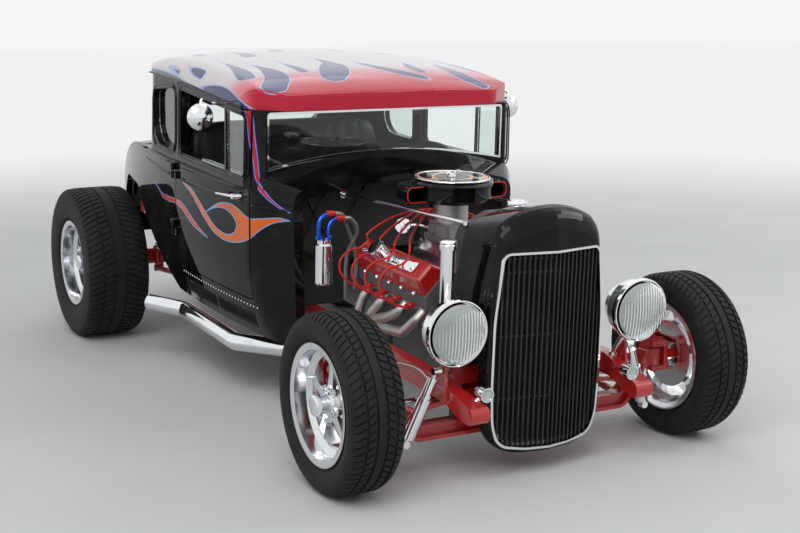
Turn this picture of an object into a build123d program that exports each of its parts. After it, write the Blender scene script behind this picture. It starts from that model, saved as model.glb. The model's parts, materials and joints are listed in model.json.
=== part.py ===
"""Hot rod coupe, built as an assembly of its real sub-parts.

Millimetres. The car's nose points along -Y, its left side is +X, and Z is up from the
ground. Everything is first drawn about the rear axle (y = 0 there). The sprung pieces,
such as the body, chassis and engine, are drawn level and then turned nose down by RAKE
about the rear axle. Last, the whole car is moved along Y so that the origin lies on the
ground under the middle of its length.
"""

from build123d import *
import os
from math import atan2, cos, radians, sin, sqrt

# Driving dimensions of the running gear
WHEELBASE = 2687.0
TRACK = 1426.0
FRONT_TYRE_R = 306.0
FRONT_TYRE_W = 196.0
FRONT_RIM_W = 172.0
REAR_TYRE_R = 366.0
REAR_TYRE_W = 298.0
REAR_RIM_W = 266.0
BEAD_R = 190.5
RIM_LIP_R = 207.0
RIM_WALL = 7.0
WELL_DEPTH = 22.0
RAKE = 3.0

# Driving dimensions of the body, in the level frame
SILL_Z = 380.0
BELT_Z = 985.0
ROOF_TOP_Z = 1456.0
COWL_FRONT_Y = -1835.0
SCREEN_Y = -1675.0
CAB_FRONT_Y = SCREEN_Y - 12
CAB_REAR_Y = -330.0
TAIL_Y = 610.0
WALL = 40.0
ROOF_WALL = 26.0
GAP = 5.0

# The body sides in plan are one long arc each, tucked in at the sill
SIDE_X = 630.0
SIDE_Y = -1030.0
SIDE_R = 5550.0
TUCK = 62.0
TUCK_Z = 720.0
COWL_HALF_W = SIDE_X - 129
COWL_BACK_HALF_W = SIDE_X - 26
COWL_BACK_Y = -1660.0
COWL_TOP_Z = 1056.0
COWL_RISE = 64.0
COWL_DROP = 68.0
COWL_SHOULDER_R = 68.0

# The rear deck is a barrel: one arc from belt to tail, crowned across
DECK_TOP_Z = 1010.0
DECK_R = 1175.0
DECK_DROP = 36.0
DECK_HALF_W = 700.0
LID_HALF_W = 330.0
LID_FRONT_Y = -250.0
LID_REAR_Y = 500.0

# Doors, in the level frame
DOOR_FRONT_Y = -1645.0
DOOR_REAR_Y = -895.0
DOOR_BOTTOM_Z = 532.0
DOOR_CORNER_R = 120.0
WINDOW_SILL_Z = 1030.0
SCREEN_FRAME_W = 9.0
GLASS_T = 6.0
GLASS_X = SIDE_X - 42
VENT_REAR_Y = -1415.0
HINGE_X = SIDE_X + 12
HINGE_R = 8.0
LID_HINGE_Y = LID_FRONT_Y + GAP / 2
LID_HINGE_Z = 1010.0
LID_HINGE_XS = (214.0, 244.0, 274.0)
HANDLE_Y = -1574.0
HANDLE_Z = 946.0
HANDLE_ROD_R = 8.0
MIRROR_FOOT_Y = -1372.0
MIRROR_FOOT_Z = 1289.0
MIRROR_ARM_R = 6.0
MIRROR_X = SIDE_X + 92
MIRROR_Y = -1452.0
MIRROR_Z = 1246.0
MIRROR_R = 53.0
HINGE_SPANS = ((915.0, 980.0), (665.0, 730.0))

# Chassis rails
RAIL_X = 350.0
RAIL_W = 46.0
RAIL_TOP_Z = 505.0
RAIL_BOTTOM_Z = 430.0
SPRING_SEAT_Z = 462.0
FRONT_Y = -WHEELBASE
HORN_Y = FRONT_Y - 279
HORN_TIP_Z = 449.0
HORN_INNER_X = RAIL_X - 50
RAIL_REAR_Z = 600.0
RAIL_INNER_X = RAIL_X - RAIL_W / 2
RAIL_OUTER_X = RAIL_X + RAIL_W / 2
PLATE_T = 8.0
ARM_MOUNT_Y = -1800.0
BAR_MOUNT_Y = -900.0
MOUNT_Z = 404.0
EYE_R = 16.0
EYE_L = 27.0
SHOCK_TOP_Y = FRONT_Y - 95
FLOOR_Z = 506.0
FLOOR_T = 8.0
REAR_FLOOR_Z = 612.0
STEP_Y = -745.0
FIREWALL_Y = -1706.0
TUNNEL_HALF_W = 212.0
TUNNEL_TOP_Z = 726.0
TUNNEL_REAR_Y = -1215.0
DASH_HALF_W = SIDE_X - 110
COLUMN_SHAFT_R = 10.0
WELL_X = 386.0
WELL_FRONT_Y = -446.0
BULKHEAD_Y = -572.0
SHAFT_TUNNEL_HALF_W = 62.0
SHAFT_TUNNEL_TOP_Z = 580.0

# Front axle and steering, above the ground
KINGPIN_X = 600.0
KINGPIN_R = 11.0
BOSS_R = 24.0
BOSS_H = 62.0
LUG_T = 18.0
ARM_BACK = 130.0
ARM_X = KINGPIN_X
TIE_ROD_R = 10.0
TIE_PIN_R = 7.0
SPINDLE_R = 17.0
SPINDLE_X = 730.0
DISC_R = 125.0
BEAM_Z = 132.0
BEAM_H = 58.0
BEAM_T = 56.0
BEAM_FLAT_X = 450.0

# Rear axle
AXLE_TUBE_R = 38.0
AXLE_TUBE_X = 540.0
DRUM_R = 140.0
PINION_Y = -235.0
COIL_X = 290.0
COIL_TOP_Z = 518.0
AXLE_PLATE_X = 416.0
LADDER_Y = -54.0

# Engine, in the level frame: a V8 with its banks at 45 degrees
CRANK_Z = 520.0
ENGINE_FRONT_Y = -2476.0
ENGINE_REAR_Y = -1946.0
BANK = 45.0
DECK_D = 235.0
HEAD_D = 325.0
COVER_D = 390.0
HEAD_HALF_W = 78.0
COVER_HALF_W = 60.0
PORT_D = 257.0
FLANGE_T = 8.0
TUBE_R = 20.0
LOG_X = 286.0
LOG_R = 32.0

# Header tubes: port y, then y, x and z of the second bend, then y and z where the tube joins the log
TUBES = (
    (-2416.0, -2350.0, 292.0, 550.0, -2118.0, 518.0),
    (-2286.0, -2226.0, 282.0, 578.0, -2096.0, 534.0),
    (-2141.0, -2104.0, 290.0, 566.0, -2052.0, 506.0),
    (-2011.0, -2000.0, 288.0, 560.0, -1990.0, 486.0),
)
PIPE_R = 37.0
CLEANER_Y = -2180.0
CLEANER_R = 156.0
CLEANER_LID_R = 141.0
CLEANER_TOP_Z = 1081.0
CLEANER_H = 88.0
SNORKEL_W = 108.0
SNORKEL_H = 62.0

# Grille shell and radiator, in the level frame
GRILLE_Y = FRONT_Y - 188
SHELL_BACK_Y = FRONT_Y + 27
SHELL_WALL = 12.0
SHELL_TOP_Z = 1082.0
SHELL_NOSE = 72.0
SHELL_EDGE = 36.0
SHELL_FLARE = 30.0
SHELL_SINK = 26.0
SHELL_OVERLAP = 20.0
V_RISE = 48.0
V_HALF_W = 300.0
BAR_COUNT = 23
BAR_T = 5.0
RADIATOR_T = 62.0
STAY_X = 217.0
STAY_R = 6.0
EYE_DROP = 6.5
STAY_FRONT_Z = 1003.0
STAY_REAR_Z = 953.0

# Lamps, in the level frame
LAMP_X = 376.0
LAMP_Y = FRONT_Y - 179
LAMP_Z = 688.0
LAMP_R = 114.0
SIGNAL_X = 299.0
SIGNAL_Y = FRONT_Y - 253
SIGNAL_Z = 488.0
SIGNAL_R = 25.0

# Small clearances
RUN = 0.05
SEAT = 0.3

WHEEL_X = TRACK / 2
NODES = {}


def add(name, *shapes):
    """Keep a finished piece under its node name; loose solids share the node."""
    solids = [s for shape in shapes for s in shape.solids()]
    NODES[name] = solids[0] if len(solids) == 1 else Compound(children=solids)


def sprung(shape):
    """Turn a level piece nose down about the rear axle."""
    centre = Location((0, 0, REAR_TYRE_R))
    back = Location((0, 0, -REAR_TYRE_R))
    return centre * Rot(RAKE, 0, 0) * back * shape


def mirrored(shape):
    """The mirror image across the car's centre plane."""
    return mirror(shape, about=Plane.YZ)


def both(shape):
    """The piece and its mirror image."""
    return [shape, mirrored(shape)]


def joined(first, *rest):
    """Fuse pieces that touch into one solid."""
    return first.fuse(*rest).clean() if rest else first


def box(x0, x1, y0, y1, z0, z1):
    """A block given by its lowest and highest corners."""
    return Pos((x0 + x1) / 2, (y0 + y1) / 2, (z0 + z1) / 2) * Box(x1 - x0, y1 - y0, z1 - z0)


def rod(a, b, r, r2=None):
    """A round bar, or a cone where r2 is given, from point a to point b."""
    start = Vector(*a)
    axis = Vector(*b) - start
    align = (Align.CENTER, Align.CENTER, Align.MIN)
    bar = Cylinder(r, axis.length, align=align) if r2 is None else Cone(r, r2, axis.length, align=align)
    return Plane(origin=start, z_dir=axis) * bar


def bent_bar(points, radius, bend):
    """A round bar along straight runs joined by tangent arcs."""
    path = FilletPolyline(*points, radius=bend)
    start = Plane(origin=path @ 0, z_dir=path % 0)
    return sweep(start * Circle(radius), path=path)


def across(y):
    """A drawing plane across the car at y: its x is X and its y is Z."""
    return Plane(origin=(0, y, 0), x_dir=(1, 0, 0), z_dir=(0, -1, 0))


def front_prism(face, y0, y1):
    """A front view face in (x, z), as a prism from y0 back to y1."""
    return extrude(across(y1) * face, amount=y1 - y0)


def side_prism(face, x0, x1):
    """A side view face in (y, z), as a prism between two x planes."""
    plane = Plane(origin=(x0, 0, 0), x_dir=(0, 1, 0), z_dir=(1, 0, 0))
    return extrude(plane * face, amount=x1 - x0)


def polygon(*points):
    """A flat face with straight edges."""
    return make_face(Polyline(*points, close=True))


def rounded(face, rules):
    """Round the corners of a flat face; rules are ((x, y), radius)."""
    for (x, y), radius in rules:
        corner = face.vertices().sort_by_distance(Vector(x, y, 0))[0]
        face = fillet([corner], radius)
    return face


def spun_y(profile, x, y, z):
    """Revolve a profile of (radius, along +Y) about an axis along Y."""
    return Pos(x, y, z) * revolve(polygon(*profile), axis=Axis.Y)


def spun_z(profile, x, y, z):
    """Revolve a profile of (radius, height) about an upright axis."""
    return Pos(x, y, z) * revolve(Plane.XZ * polygon(*profile), axis=Axis.Z)


def body_side(inset, left):
    """Everything inboard of one body side: a disc whose rim is the long side arc."""
    r = SIDE_R - inset
    low = SILL_Z - (60 if inset else 0)
    foot = (r - TUCK, SILL_Z)
    outline = [Line((0, low), (r - TUCK, low))] if inset else [Line((0, low), foot)]
    if inset:
        outline.append(Line((r - TUCK, low), foot))
    outline.append(TangentArc((r, TUCK_Z), foot, tangent=(0, -1)))
    outline.append(Polyline((r, TUCK_Z), (r, 1300), (0, 1300), (0, low)))
    disc = Pos(SIDE_X - SIDE_R, SIDE_Y, 0) * revolve(Plane.XZ * make_face(outline), axis=Axis.Z)
    return disc if left else mirrored(disc)


def cowl_taper(inset):
    """The narrowing of the cowl towards the firewall, as a form to keep."""
    ahead, behind = 20.0, 400.0

    def plan(z, spread):
        back = COWL_BACK_HALF_W + spread - inset
        nose = COWL_HALF_W + spread - inset
        slope = (back - nose) / (COWL_BACK_Y - COWL_FRONT_Y)
        half = ((nose - slope * ahead, COWL_FRONT_Y - ahead),
                (back + slope * behind, COWL_BACK_Y + behind),
                (900, COWL_BACK_Y + behind), (900, 900))
        points = list(half) + [(-x, y) for x, y in reversed(half)]
        return Pos(0, 0, z) * polygon(*points)

    low = SILL_Z - (60 if inset else 0)
    return loft([plan(low, -24), plan(1300, 6)], ruled=True)


def above_cowl(inset):
    """What lies above the crowned, rising cowl top."""
    ahead = 30.0
    slope = COWL_RISE / (SCREEN_Y - 5 - COWL_FRONT_Y)
    crown_r = (COWL_HALF_W ** 2 + COWL_DROP ** 2) / (2 * COWL_DROP)
    top = COWL_TOP_Z - inset - ahead * slope
    edge = 800.0
    side = top - (crown_r - sqrt(crown_r ** 2 - edge ** 2))
    face = make_face([ThreePointArc((-edge, side), (0, top), (edge, side)),
                      Polyline((edge, side), (edge, 1600), (-edge, 1600), (-edge, side))])
    return extrude(across(COWL_FRONT_Y - ahead) * face, amount=270, dir=(0, 1, slope))


def above_deck(inset):
    """What lies above the barrel of the rear deck."""
    r = DECK_R - inset
    w = DECK_HALF_W
    face = make_face([ThreePointArc((-w, r - DECK_DROP), (0, r), (w, r - DECK_DROP)),
                      Polyline((w, r - DECK_DROP), (w, r + 900), (-w, r + 900), (-w, r - DECK_DROP))])
    centre = (0, CAB_REAR_Y, DECK_TOP_Z - DECK_R)
    plane = Plane(origin=centre, x_dir=(1, 0, 0), z_dir=(0, -1, 0))
    return revolve(plane * face, axis=Axis(centre, (-1, 0, 0)), revolution_arc=75)


def tub_solid(inset):
    """The body below the belt as one solid, shrunk by inset."""
    nose = COWL_FRONT_Y - (10 if inset else 0)
    solid = body_side(inset, True) & body_side(inset, False)
    solid = solid & box(-900, 900, nose, TAIL_Y - inset, 200, 1250)
    solid = solid & cowl_taper(inset)
    return solid.cut(above_cowl(inset)).cut(above_deck(inset))


def rim_block():
    """The space above the belt that the cab's upper part fills."""
    return box(-900, 900, CAB_FRONT_Y, CAB_REAR_Y, BELT_Z, 1400)


def edges_where(solid, rule):
    """The edges whose bounding boxes pass a rule."""
    return [e for e in solid.edges() if rule(e.bounding_box())]


def soften_cowl(solid):
    """Round the upright bend where each cowl side meets the door line."""
    def bend(b):
        upright = b.max.Z - b.min.Z > 100 or (b.min.Z > BELT_Z - 1 and b.max.Z < BELT_Z + 1)
        return upright and -1660 < b.max.Y < -1640 and b.max.X * b.min.X > 0 and b.max.Z < 1000
    return fillet(edges_where(solid, bend), 200)


def round_shoulders(solid, radius):
    """Round the long edges where the cowl's top meets its sides."""
    def shoulder(b):
        lengthwise = b.max.Y - b.min.Y > 12 and b.max.X * b.min.X > 0
        return lengthwise and b.max.Y < CAB_FRONT_Y + 90 and b.min.Z > BELT_Z - 45
    return fillet(edges_where(solid, shoulder), radius)


def cab_plan(inset, widen, rear_y):
    """Plan outline of the upper cab, from windscreen wall to rear window wall."""
    front = CAB_FRONT_Y + inset
    nose, side = SIDE_X - 70 + widen - inset, SIDE_X - 14 + widen - inset
    rear = rear_y - inset
    half = make_face([
        Line((0, front), (nose, front)),
        Line((nose, front), (side - 6, -1610)),
        ThreePointArc((side - 6, -1610), (side, -1080), (side - 12, rear)),
        Line((side - 12, rear), (0, rear)),
        Line((0, rear), (0, front)),
    ])
    half = rounded(half, (((nose, front), 24), ((side - 12, rear), max(235 - inset, 30))))
    return half + mirrored(half)


def cab_solid(inset):
    """The upper cab between belt and roof, shrunk by inset; it leans in a little."""
    low = Pos(0, 0, BELT_Z - (60 if inset else 0)) * cab_plan(inset, 0, CAB_REAR_Y)
    high = Pos(0, 0, 1360) * cab_plan(inset, -6, CAB_REAR_Y - 24)
    return loft([low, high], ruled=True)


# Roof sections: y, how far inside the body side, corner height, crown height, side radius
ROOF_SECTIONS = (
    (-1765, 24, 1320, 1340, 30),
    (-1640, 22, 1366, 1398, 60),
    (-1300, 14, 1404, 1441, 90),
    (-900, 12, 1416, ROOF_TOP_Z, 96),
    (-600, 16, 1402, 1441, 92),
    (-430, 26, 1372, 1408, 70),
    (-325, 34, 1334, 1362, 40),
)
DRIP_LINE = ((-1800, 1289), (-1640, 1291), (-1000, 1333), (-200, 1338))


def drip_z(y):
    """Height of the drip line at y."""
    for (y0, z0), (y1, z1) in zip(DRIP_LINE, DRIP_LINE[1:]):
        if y <= y1:
            return z0 + (z1 - z0) * (y - y0) / (y1 - y0)
    return DRIP_LINE[-1][1]


def above_drip():
    """A block that holds everything above the drip rail."""
    return side_prism(polygon(*DRIP_LINE, (-200, 1600), (-1800, 1600)), -700, 700)


def roof_solid(inset):
    """The roof's outer or inner form: crowned sections trimmed to the cab's plan."""
    foot = 1240
    faces = []
    for y, inside, corner_z, crown_z, radius in ROOF_SECTIONS:
        w = SIDE_X - inside - inset
        zc, zt = corner_z - inset, crown_z - inset
        face = make_face([
            Line((-w, foot), (w, foot)),
            Line((w, foot), (w, zc)),
            ThreePointArc((w, zc), (0, zt), (-w, zc)),
            Line((-w, zc), (-w, foot)),
        ])
        tops = [v for v in face.vertices() if v.Y > foot + 1]
        faces.append(across(y) * fillet(tops, max(radius - inset, 8)))
    front, rear, peak = -1726 + inset, -352 - inset, 18
    nose, side = SIDE_X - 160 - inset, SIDE_X - 16 - inset
    half = make_face([
        Polyline((0, front - peak), (nose, front), (side, -1600)),
        ThreePointArc((side, -1600), (side + 4, -1000), (side - 12, rear)),
        Polyline((side - 12, rear), (0, rear), (0, front - peak)),
    ])
    half = rounded(half, (((nose, front), 80), ((side, -1600), 120),
                          ((side - 12, rear), max(232 - inset, 30))))
    plan = half + mirrored(half)
    return loft(faces) & extrude(Pos(0, 0, 1200) * plan, amount=400)


def door_face(grow, top_gap):
    """The door's side outline grown all round; its top follows the drip line."""
    y0, y1 = DOOR_FRONT_Y - grow, DOOR_REAR_Y + grow
    z0 = DOOR_BOTTOM_Z - grow
    mid = -1000
    face = polygon((y0, z0), (y1, z0), (y1, drip_z(y1) - top_gap), (mid, drip_z(mid) - top_gap),
                   (y0, drip_z(y0) - top_gap))
    return rounded(face, (((y0, z0), 22 + grow), ((y1, z0), DOOR_CORNER_R + grow)))


def door_window(grow):
    """The door window's side outline."""
    y0, y1 = DOOR_FRONT_Y + 30 - grow, DOOR_REAR_Y - 34 + grow
    z0 = WINDOW_SILL_Z - grow
    tops = (1262 + grow, 1298 + grow)
    face = polygon((y0, z0), (y1, z0), (y1, tops[1]), (y0, tops[0]))
    return fillet(face.vertices(), 24 + grow)


def windscreen_face(grow):
    """The windscreen opening in front view, with its arched lower edge."""
    w, low, mid, top = SIDE_X - 100 + grow, 1064 - grow, 1118 - grow, 1274 + grow
    face = make_face([
        ThreePointArc((-w, low), (0, mid), (w, low)),
        Polyline((w, low), (w, top), (-w, top), (-w, low)),
    ])
    return fillet(face.vertices().sort_by(Axis.Y)[-2:], 14)


def wheel_arch():
    """The opening over the rear wheel: high over the tyre, slanting down to the sill ahead."""
    face = polygon((-780, 300), (-780, 362), (-205, 774), (150, 774), (418, 590), (432, 300))
    face = rounded(face, (((-205, 774), 190), ((150, 774), 220), ((418, 590), 120)))
    return side_prism(face, -800, 800)


def quarter_window(grow):
    """The quarter window's side outline."""
    y0, y1 = -854 - grow, -564 + grow
    low_rear, high_rear = (y1, 1031 - grow), (y1, 1266 + grow)
    face = polygon((y0, 1025 - grow), low_rear, high_rear, (y0, 1301 + grow))
    return rounded(face, ((low_rear, 105 + grow), (high_rear, 45 + grow), ((y0, 1025 - grow), 26 + grow),
                          ((y0, 1301 + grow), 26 + grow)))


def rear_window(grow):
    """The rear window's outline in front view."""
    return Pos(0, 1162) * RectangleRounded(620 + 2 * grow, 172 + 2 * grow, 50 + grow)


def hinge_barrel(y_web, z0, z1):
    """One barrel of a door hinge with its leaf, which reaches to y_web."""
    barrel = Pos(HINGE_X, DOOR_REAR_Y, (z0 + z1) / 2) * Cylinder(HINGE_R, z1 - z0)
    y0, y1 = sorted((DOOR_REAR_Y, y_web))
    leaf = box(HINGE_X - 30, HINGE_X, y0, y1, z0, z1)
    return barrel, leaf


def with_lid_hinges(lid, tub):
    """Two hinges across the lid's front edge: one barrel on the lid, one on the tub, end to end."""
    y, z = LID_HINGE_Y, LID_HINGE_Z
    x0, mid, x1 = LID_HINGE_XS
    spans = ((x0, mid - GAP / 2), (mid + GAP / 2, x1))
    reach = HINGE_R + GAP
    for side in (-1, 1):
        for (a, b), out in zip(spans, (1, -1)):
            xs = sorted((side * a, side * b))
            near, far = sorted((y, y + out * 30))
            barrel = rod((xs[0], y, z), (xs[1], y, z), HINGE_R)
            room = rod((xs[0] - GAP, y, z), (xs[1] + GAP, y, z), reach)
            leaf = box(*xs, near, far, z - 14, z - 1)
            if out > 0:
                tub = tub.cut(room)
                lid = joined(lid, leaf, barrel)
            else:
                lid = lid.cut(room)
                tub = joined(tub, leaf, barrel)
    return lid, tub


def make_body():
    """Body shell, doors, deck lid, roof, and their glass and fittings."""
    tub = round_shoulders(soften_cowl(tub_solid(0)), COWL_SHOULDER_R)
    hollow = round_shoulders(tub_solid(WALL), COWL_SHOULDER_R - WALL)
    tub = tub.cut(hollow).cut(rim_block())
    cab = cab_solid(0).cut(cab_solid(WALL)).cut(above_drip())
    roof = (roof_solid(0) & above_drip()).cut(roof_solid(ROOF_WALL))

    # Windows, and the lip that the windscreen frame sits in
    cab = cab.cut(front_prism(windscreen_face(SCREEN_FRAME_W), SCREEN_Y - 60, SCREEN_Y + 90))
    for side in (-1, 1):
        x0, x1 = sorted((side * (SIDE_X - 130), side * (SIDE_X + 70)))
        cab = cab.cut(side_prism(quarter_window(0), x0, x1))
    cab = cab.cut(front_prism(rear_window(0), CAB_REAR_Y - 130, CAB_REAR_Y + 60))

    # Doors, cut from the same walls
    door_zone = (SIDE_X - 190, SIDE_X + 90)
    blank = side_prism(door_face(-GAP, GAP), *door_zone)
    door = joined(tub & blank, cab & blank)
    glass_zone = side_prism(door_window(8), GLASS_X, GLASS_X + GLASS_T)
    groove = side_prism(door_window(8 + SEAT), GLASS_X - SEAT, GLASS_X + GLASS_T + SEAT)
    door = door.cut(side_prism(door_window(0), *door_zone)).cut(groove)
    vent = glass_zone & box(*door_zone, -1800, VENT_REAR_Y, 900, 1400)
    divider = box(GLASS_X - 8, GLASS_X + GLASS_T + 8, VENT_REAR_Y + SEAT, VENT_REAR_Y + 14,
                  WINDOW_SILL_Z - 3, WINDOW_SILL_Z + 254)
    door = joined(door, divider)
    handle_hole = rod((SIDE_X - 70, HANDLE_Y, HANDLE_Z), (HINGE_X, HANDLE_Y, HANDLE_Z),
                      HANDLE_ROD_R + SEAT)
    foot_hole = rod((SIDE_X - 36, MIRROR_FOOT_Y, MIRROR_FOOT_Z), (HINGE_X, MIRROR_FOOT_Y, MIRROR_FOOT_Z),
                    MIRROR_ARM_R + SEAT)
    door = door.cut(handle_hole).cut(foot_hole)

    hole = side_prism(door_face(0, -30), *door_zone)
    for z0, z1 in HINGE_SPANS:
        mid = (z1 - z0 - GAP) / 2
        barrel, leaf = hinge_barrel(DOOR_REAR_Y - 34, z0, z0 + mid)
        inner_leaf = leaf & box(*door_zone, DOOR_REAR_Y - 200, DOOR_REAR_Y - GAP - 0.5, 0, 2000)
        outer_leaf = leaf.cut(box(door_zone[0], SIDE_X + 0.5, DOOR_REAR_Y - 100, DOOR_REAR_Y + 100, 0, 2000))
        door = joined(door, inner_leaf, outer_leaf, barrel)
    for opening in both(hole):
        tub = tub.cut(opening)
        cab = cab.cut(opening)
    for z0, z1 in HINGE_SPANS:
        mid = (z1 - z0 - GAP) / 2
        barrel, leaf = hinge_barrel(DOOR_REAR_Y + 34, z1 - mid, z1)
        lug = joined(leaf.cut(box(door_zone[0], SIDE_X - 0.5, DOOR_REAR_Y - 100, DOOR_REAR_Y + 0.5, 0, 2000)),
                     barrel)
        tub = joined(tub, lug, mirrored(lug))

    lid_face = polygon((LID_FRONT_Y, 1150), (LID_FRONT_Y, 860), (LID_REAR_Y, 560), (730, 706), (730, 1150))
    lid_small = polygon((LID_FRONT_Y + GAP, 1150), (LID_FRONT_Y + GAP, 864),
                        (LID_REAR_Y - 4, 565), (730, 712.5), (730, 1150))
    lid = tub & side_prism(lid_small, -LID_HALF_W + GAP, LID_HALF_W - GAP)
    tub = tub.cut(side_prism(lid_face, -LID_HALF_W, LID_HALF_W)).cut(wheel_arch())
    lid, tub = with_lid_hinges(lid, tub)

    frame = front_prism(windscreen_face(SCREEN_FRAME_W - SEAT), SCREEN_Y - 8, SCREEN_Y + 14)
    frame = frame.cut(front_prism(windscreen_face(0), SCREEN_Y - 20, SCREEN_Y + 30))
    frame = frame.cut(front_prism(windscreen_face(4 + SEAT), SCREEN_Y - SEAT, SCREEN_Y + GLASS_T + SEAT))
    screen = front_prism(windscreen_face(4), SCREEN_Y, SCREEN_Y + GLASS_T)
    quarter = side_prism(quarter_window(-SEAT), GLASS_X - 12, GLASS_X - 12 + GLASS_T)
    back = front_prism(rear_window(-SEAT), CAB_REAR_Y - 34, CAB_REAR_Y - 34 + GLASS_T)

    add("tub", sprung(tub))
    ring = cab.solids().sort_by(Axis.Y)
    add("windscreen_surround", sprung(ring[0]))
    add("cab_rear", sprung(joined(*ring[1:])))
    add("roof_panel", sprung(roof))
    add("windscreen_frame", sprung(frame))
    add("fixed_glass", *[sprung(s) for s in (screen, *both(quarter), back)])
    add("deck_lid", sprung(lid))
    for name, flip in (("left", False), ("right", True)):
        pieces = {"door_": door, "door_glass_": vent, "door_fittings_": door_fittings()}
        for key, piece in pieces.items():
            add(key + name, sprung(mirrored(piece) if flip else piece))


def door_fittings():
    """Lever handle and swan-neck mirror of the left door."""
    x = HINGE_X
    stem = rod((SIDE_X - 40, HANDLE_Y, HANDLE_Z), (x - 2, HANDLE_Y, HANDLE_Z), HANDLE_ROD_R)
    boss = rod((SIDE_X - 24, HANDLE_Y, HANDLE_Z), (x, HANDLE_Y, HANDLE_Z), 15, 11)
    end = (x + 4, HANDLE_Y + 150, HANDLE_Z - 12)
    lever = rod((x - 2, HANDLE_Y, HANDLE_Z), end, 7, 5)
    tip = Pos(*end) * Sphere(6)
    arm = bent_bar(((SIDE_X - 34, MIRROR_FOOT_Y, MIRROR_FOOT_Z), (SIDE_X + 20, MIRROR_FOOT_Y, MIRROR_FOOT_Z),
                    (MIRROR_X - 6, MIRROR_Y + 12, MIRROR_Z + 69), (MIRROR_X, MIRROR_Y - 4, MIRROR_Z + 20)),
                   MIRROR_ARM_R, 14)
    back = spun_y(((0, -24), (18, -22), (34, -16), (46, -8), (MIRROR_R, 0), (MIRROR_R, 9), (0, 9)),
                  MIRROR_X, MIRROR_Y, MIRROR_Z)
    return Compound(children=[joined(stem, boss, lever, tip), joined(arm, back)])


def rail_solid():
    """One frame rail: it kicks up over the rear axle and its front horn drops and widens inwards."""
    kick_y, drop_y = -500, -720
    horn_y, horn_z = FRONT_Y - 128, 481
    side = polygon((HORN_Y, HORN_TIP_Z), (horn_y, horn_z), (FRONT_Y - 53, RAIL_TOP_Z), (drop_y, RAIL_TOP_Z),
                   (kick_y, RAIL_REAR_Z), (180, RAIL_REAR_Z), (366, RAIL_REAR_Z - 16), (366, 530), (-450, 530),
                   (-660, RAIL_BOTTOM_Z), (FRONT_Y - 3, RAIL_BOTTOM_Z), (FRONT_Y - 113, RAIL_BOTTOM_Z - 5),
                   (FRONT_Y - 193, RAIL_BOTTOM_Z - 28), (HORN_Y, RAIL_BOTTOM_Z - 38))
    side = rounded(side, (((HORN_Y, HORN_TIP_Z), 26), ((horn_y, horn_z), 150),
                          ((FRONT_Y - 53, RAIL_TOP_Z), 150), ((drop_y, RAIL_TOP_Z), 120),
                          ((kick_y, RAIL_REAR_Z), 90), ((-450, 530), 90),
                          ((-660, RAIL_BOTTOM_Z), 120), ((FRONT_Y - 113, RAIL_BOTTOM_Z - 5), 200),
                          ((FRONT_Y - 193, RAIL_BOTTOM_Z - 28), 200), ((HORN_Y, RAIL_BOTTOM_Z - 38), 26)))
    plan = polygon((RAIL_INNER_X, 400), (RAIL_OUTER_X, 400), (RAIL_OUTER_X, HORN_Y - 10),
                   (HORN_INNER_X, HORN_Y - 10), (RAIL_INNER_X, FRONT_Y - 103))
    return side_prism(side, HORN_INNER_X - 10, RAIL_OUTER_X) & extrude(Pos(0, 0, 300) * plan, amount=400)


def make_chassis():
    """Ladder frame with curved horns, crossmembers and brackets."""
    x0, x1 = RAIL_INNER_X, RAIL_OUTER_X
    members = [
        box(-x0 - 5, x0 + 5, FRONT_Y - 42, FRONT_Y + 26, SPRING_SEAT_Z, RAIL_TOP_Z - 2),
        box(-x0 - 5, x0 + 5, -1340, -1290, RAIL_BOTTOM_Z - 16, RAIL_BOTTOM_Z + 16),
        box(-x0 - 5, x0 + 5, -430, -380, 540, 596),
        box(-x0 - 5, x0 + 5, 300, 345, 534, 584),
    ]
    tower = rounded(polygon((SHOCK_TOP_Y - 30, 440), (SHOCK_TOP_Y + 30, 440), (SHOCK_TOP_Y + 20, 560),
                            (SHOCK_TOP_Y - 14, 560)),
                    (((SHOCK_TOP_Y + 20, 560), 12), ((SHOCK_TOP_Y - 14, 560), 12)))
    plates = [side_prism(tower, x1 - 2, x1 + PLATE_T - 1)]
    for y in (ARM_MOUNT_Y, BAR_MOUNT_Y):
        plates.append(box(x1 - 2, x1 + PLATE_T, y - 30, y + 30, MOUNT_Z - 24, RAIL_BOTTOM_Z + 40))
    ear = rounded(polygon((-424, 500), (-384, 500), (-384, 545), (-424, 545)),
                  (((-424, 500), 14), ((-384, 500), 14)))
    plates += [side_prism(ear, COIL_X + d, COIL_X + d + 6) for d in (-22, 16)]
    rails = [p for part in (rail_solid(), *plates) for p in both(part)]
    add("chassis_frame", sprung(joined(rails[0], *rails[1:], *members)))


def beam_outline():
    """The dropped front axle beam in front view, right half."""
    top = BEAM_Z + BEAM_H
    low_boss = FRONT_TYRE_R - BOSS_H / 2
    half = [(0, BEAM_Z), (BEAM_FLAT_X, BEAM_Z), (508, 206), (543, low_boss), (KINGPIN_X, low_boss),
            (KINGPIN_X, FRONT_TYRE_R + BOSS_H / 2), (548, FRONT_TYRE_R + BOSS_H / 2), (496, 262),
            (BEAM_FLAT_X - 22, top), (0, top)]
    points = half + [(-x, z) for x, z in reversed(half[1:-1])]
    face = polygon(*points)
    rules = []
    for sign in (-1, 1):
        rules += [((sign * BEAM_FLAT_X, BEAM_Z), 60), ((sign * 543, low_boss), 12),
                  ((sign * 548, FRONT_TYRE_R + BOSS_H / 2), 18), ((sign * 496, 262), 40),
                  ((sign * (BEAM_FLAT_X - 22), top), 50)]
    return rounded(face, rules)


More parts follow.
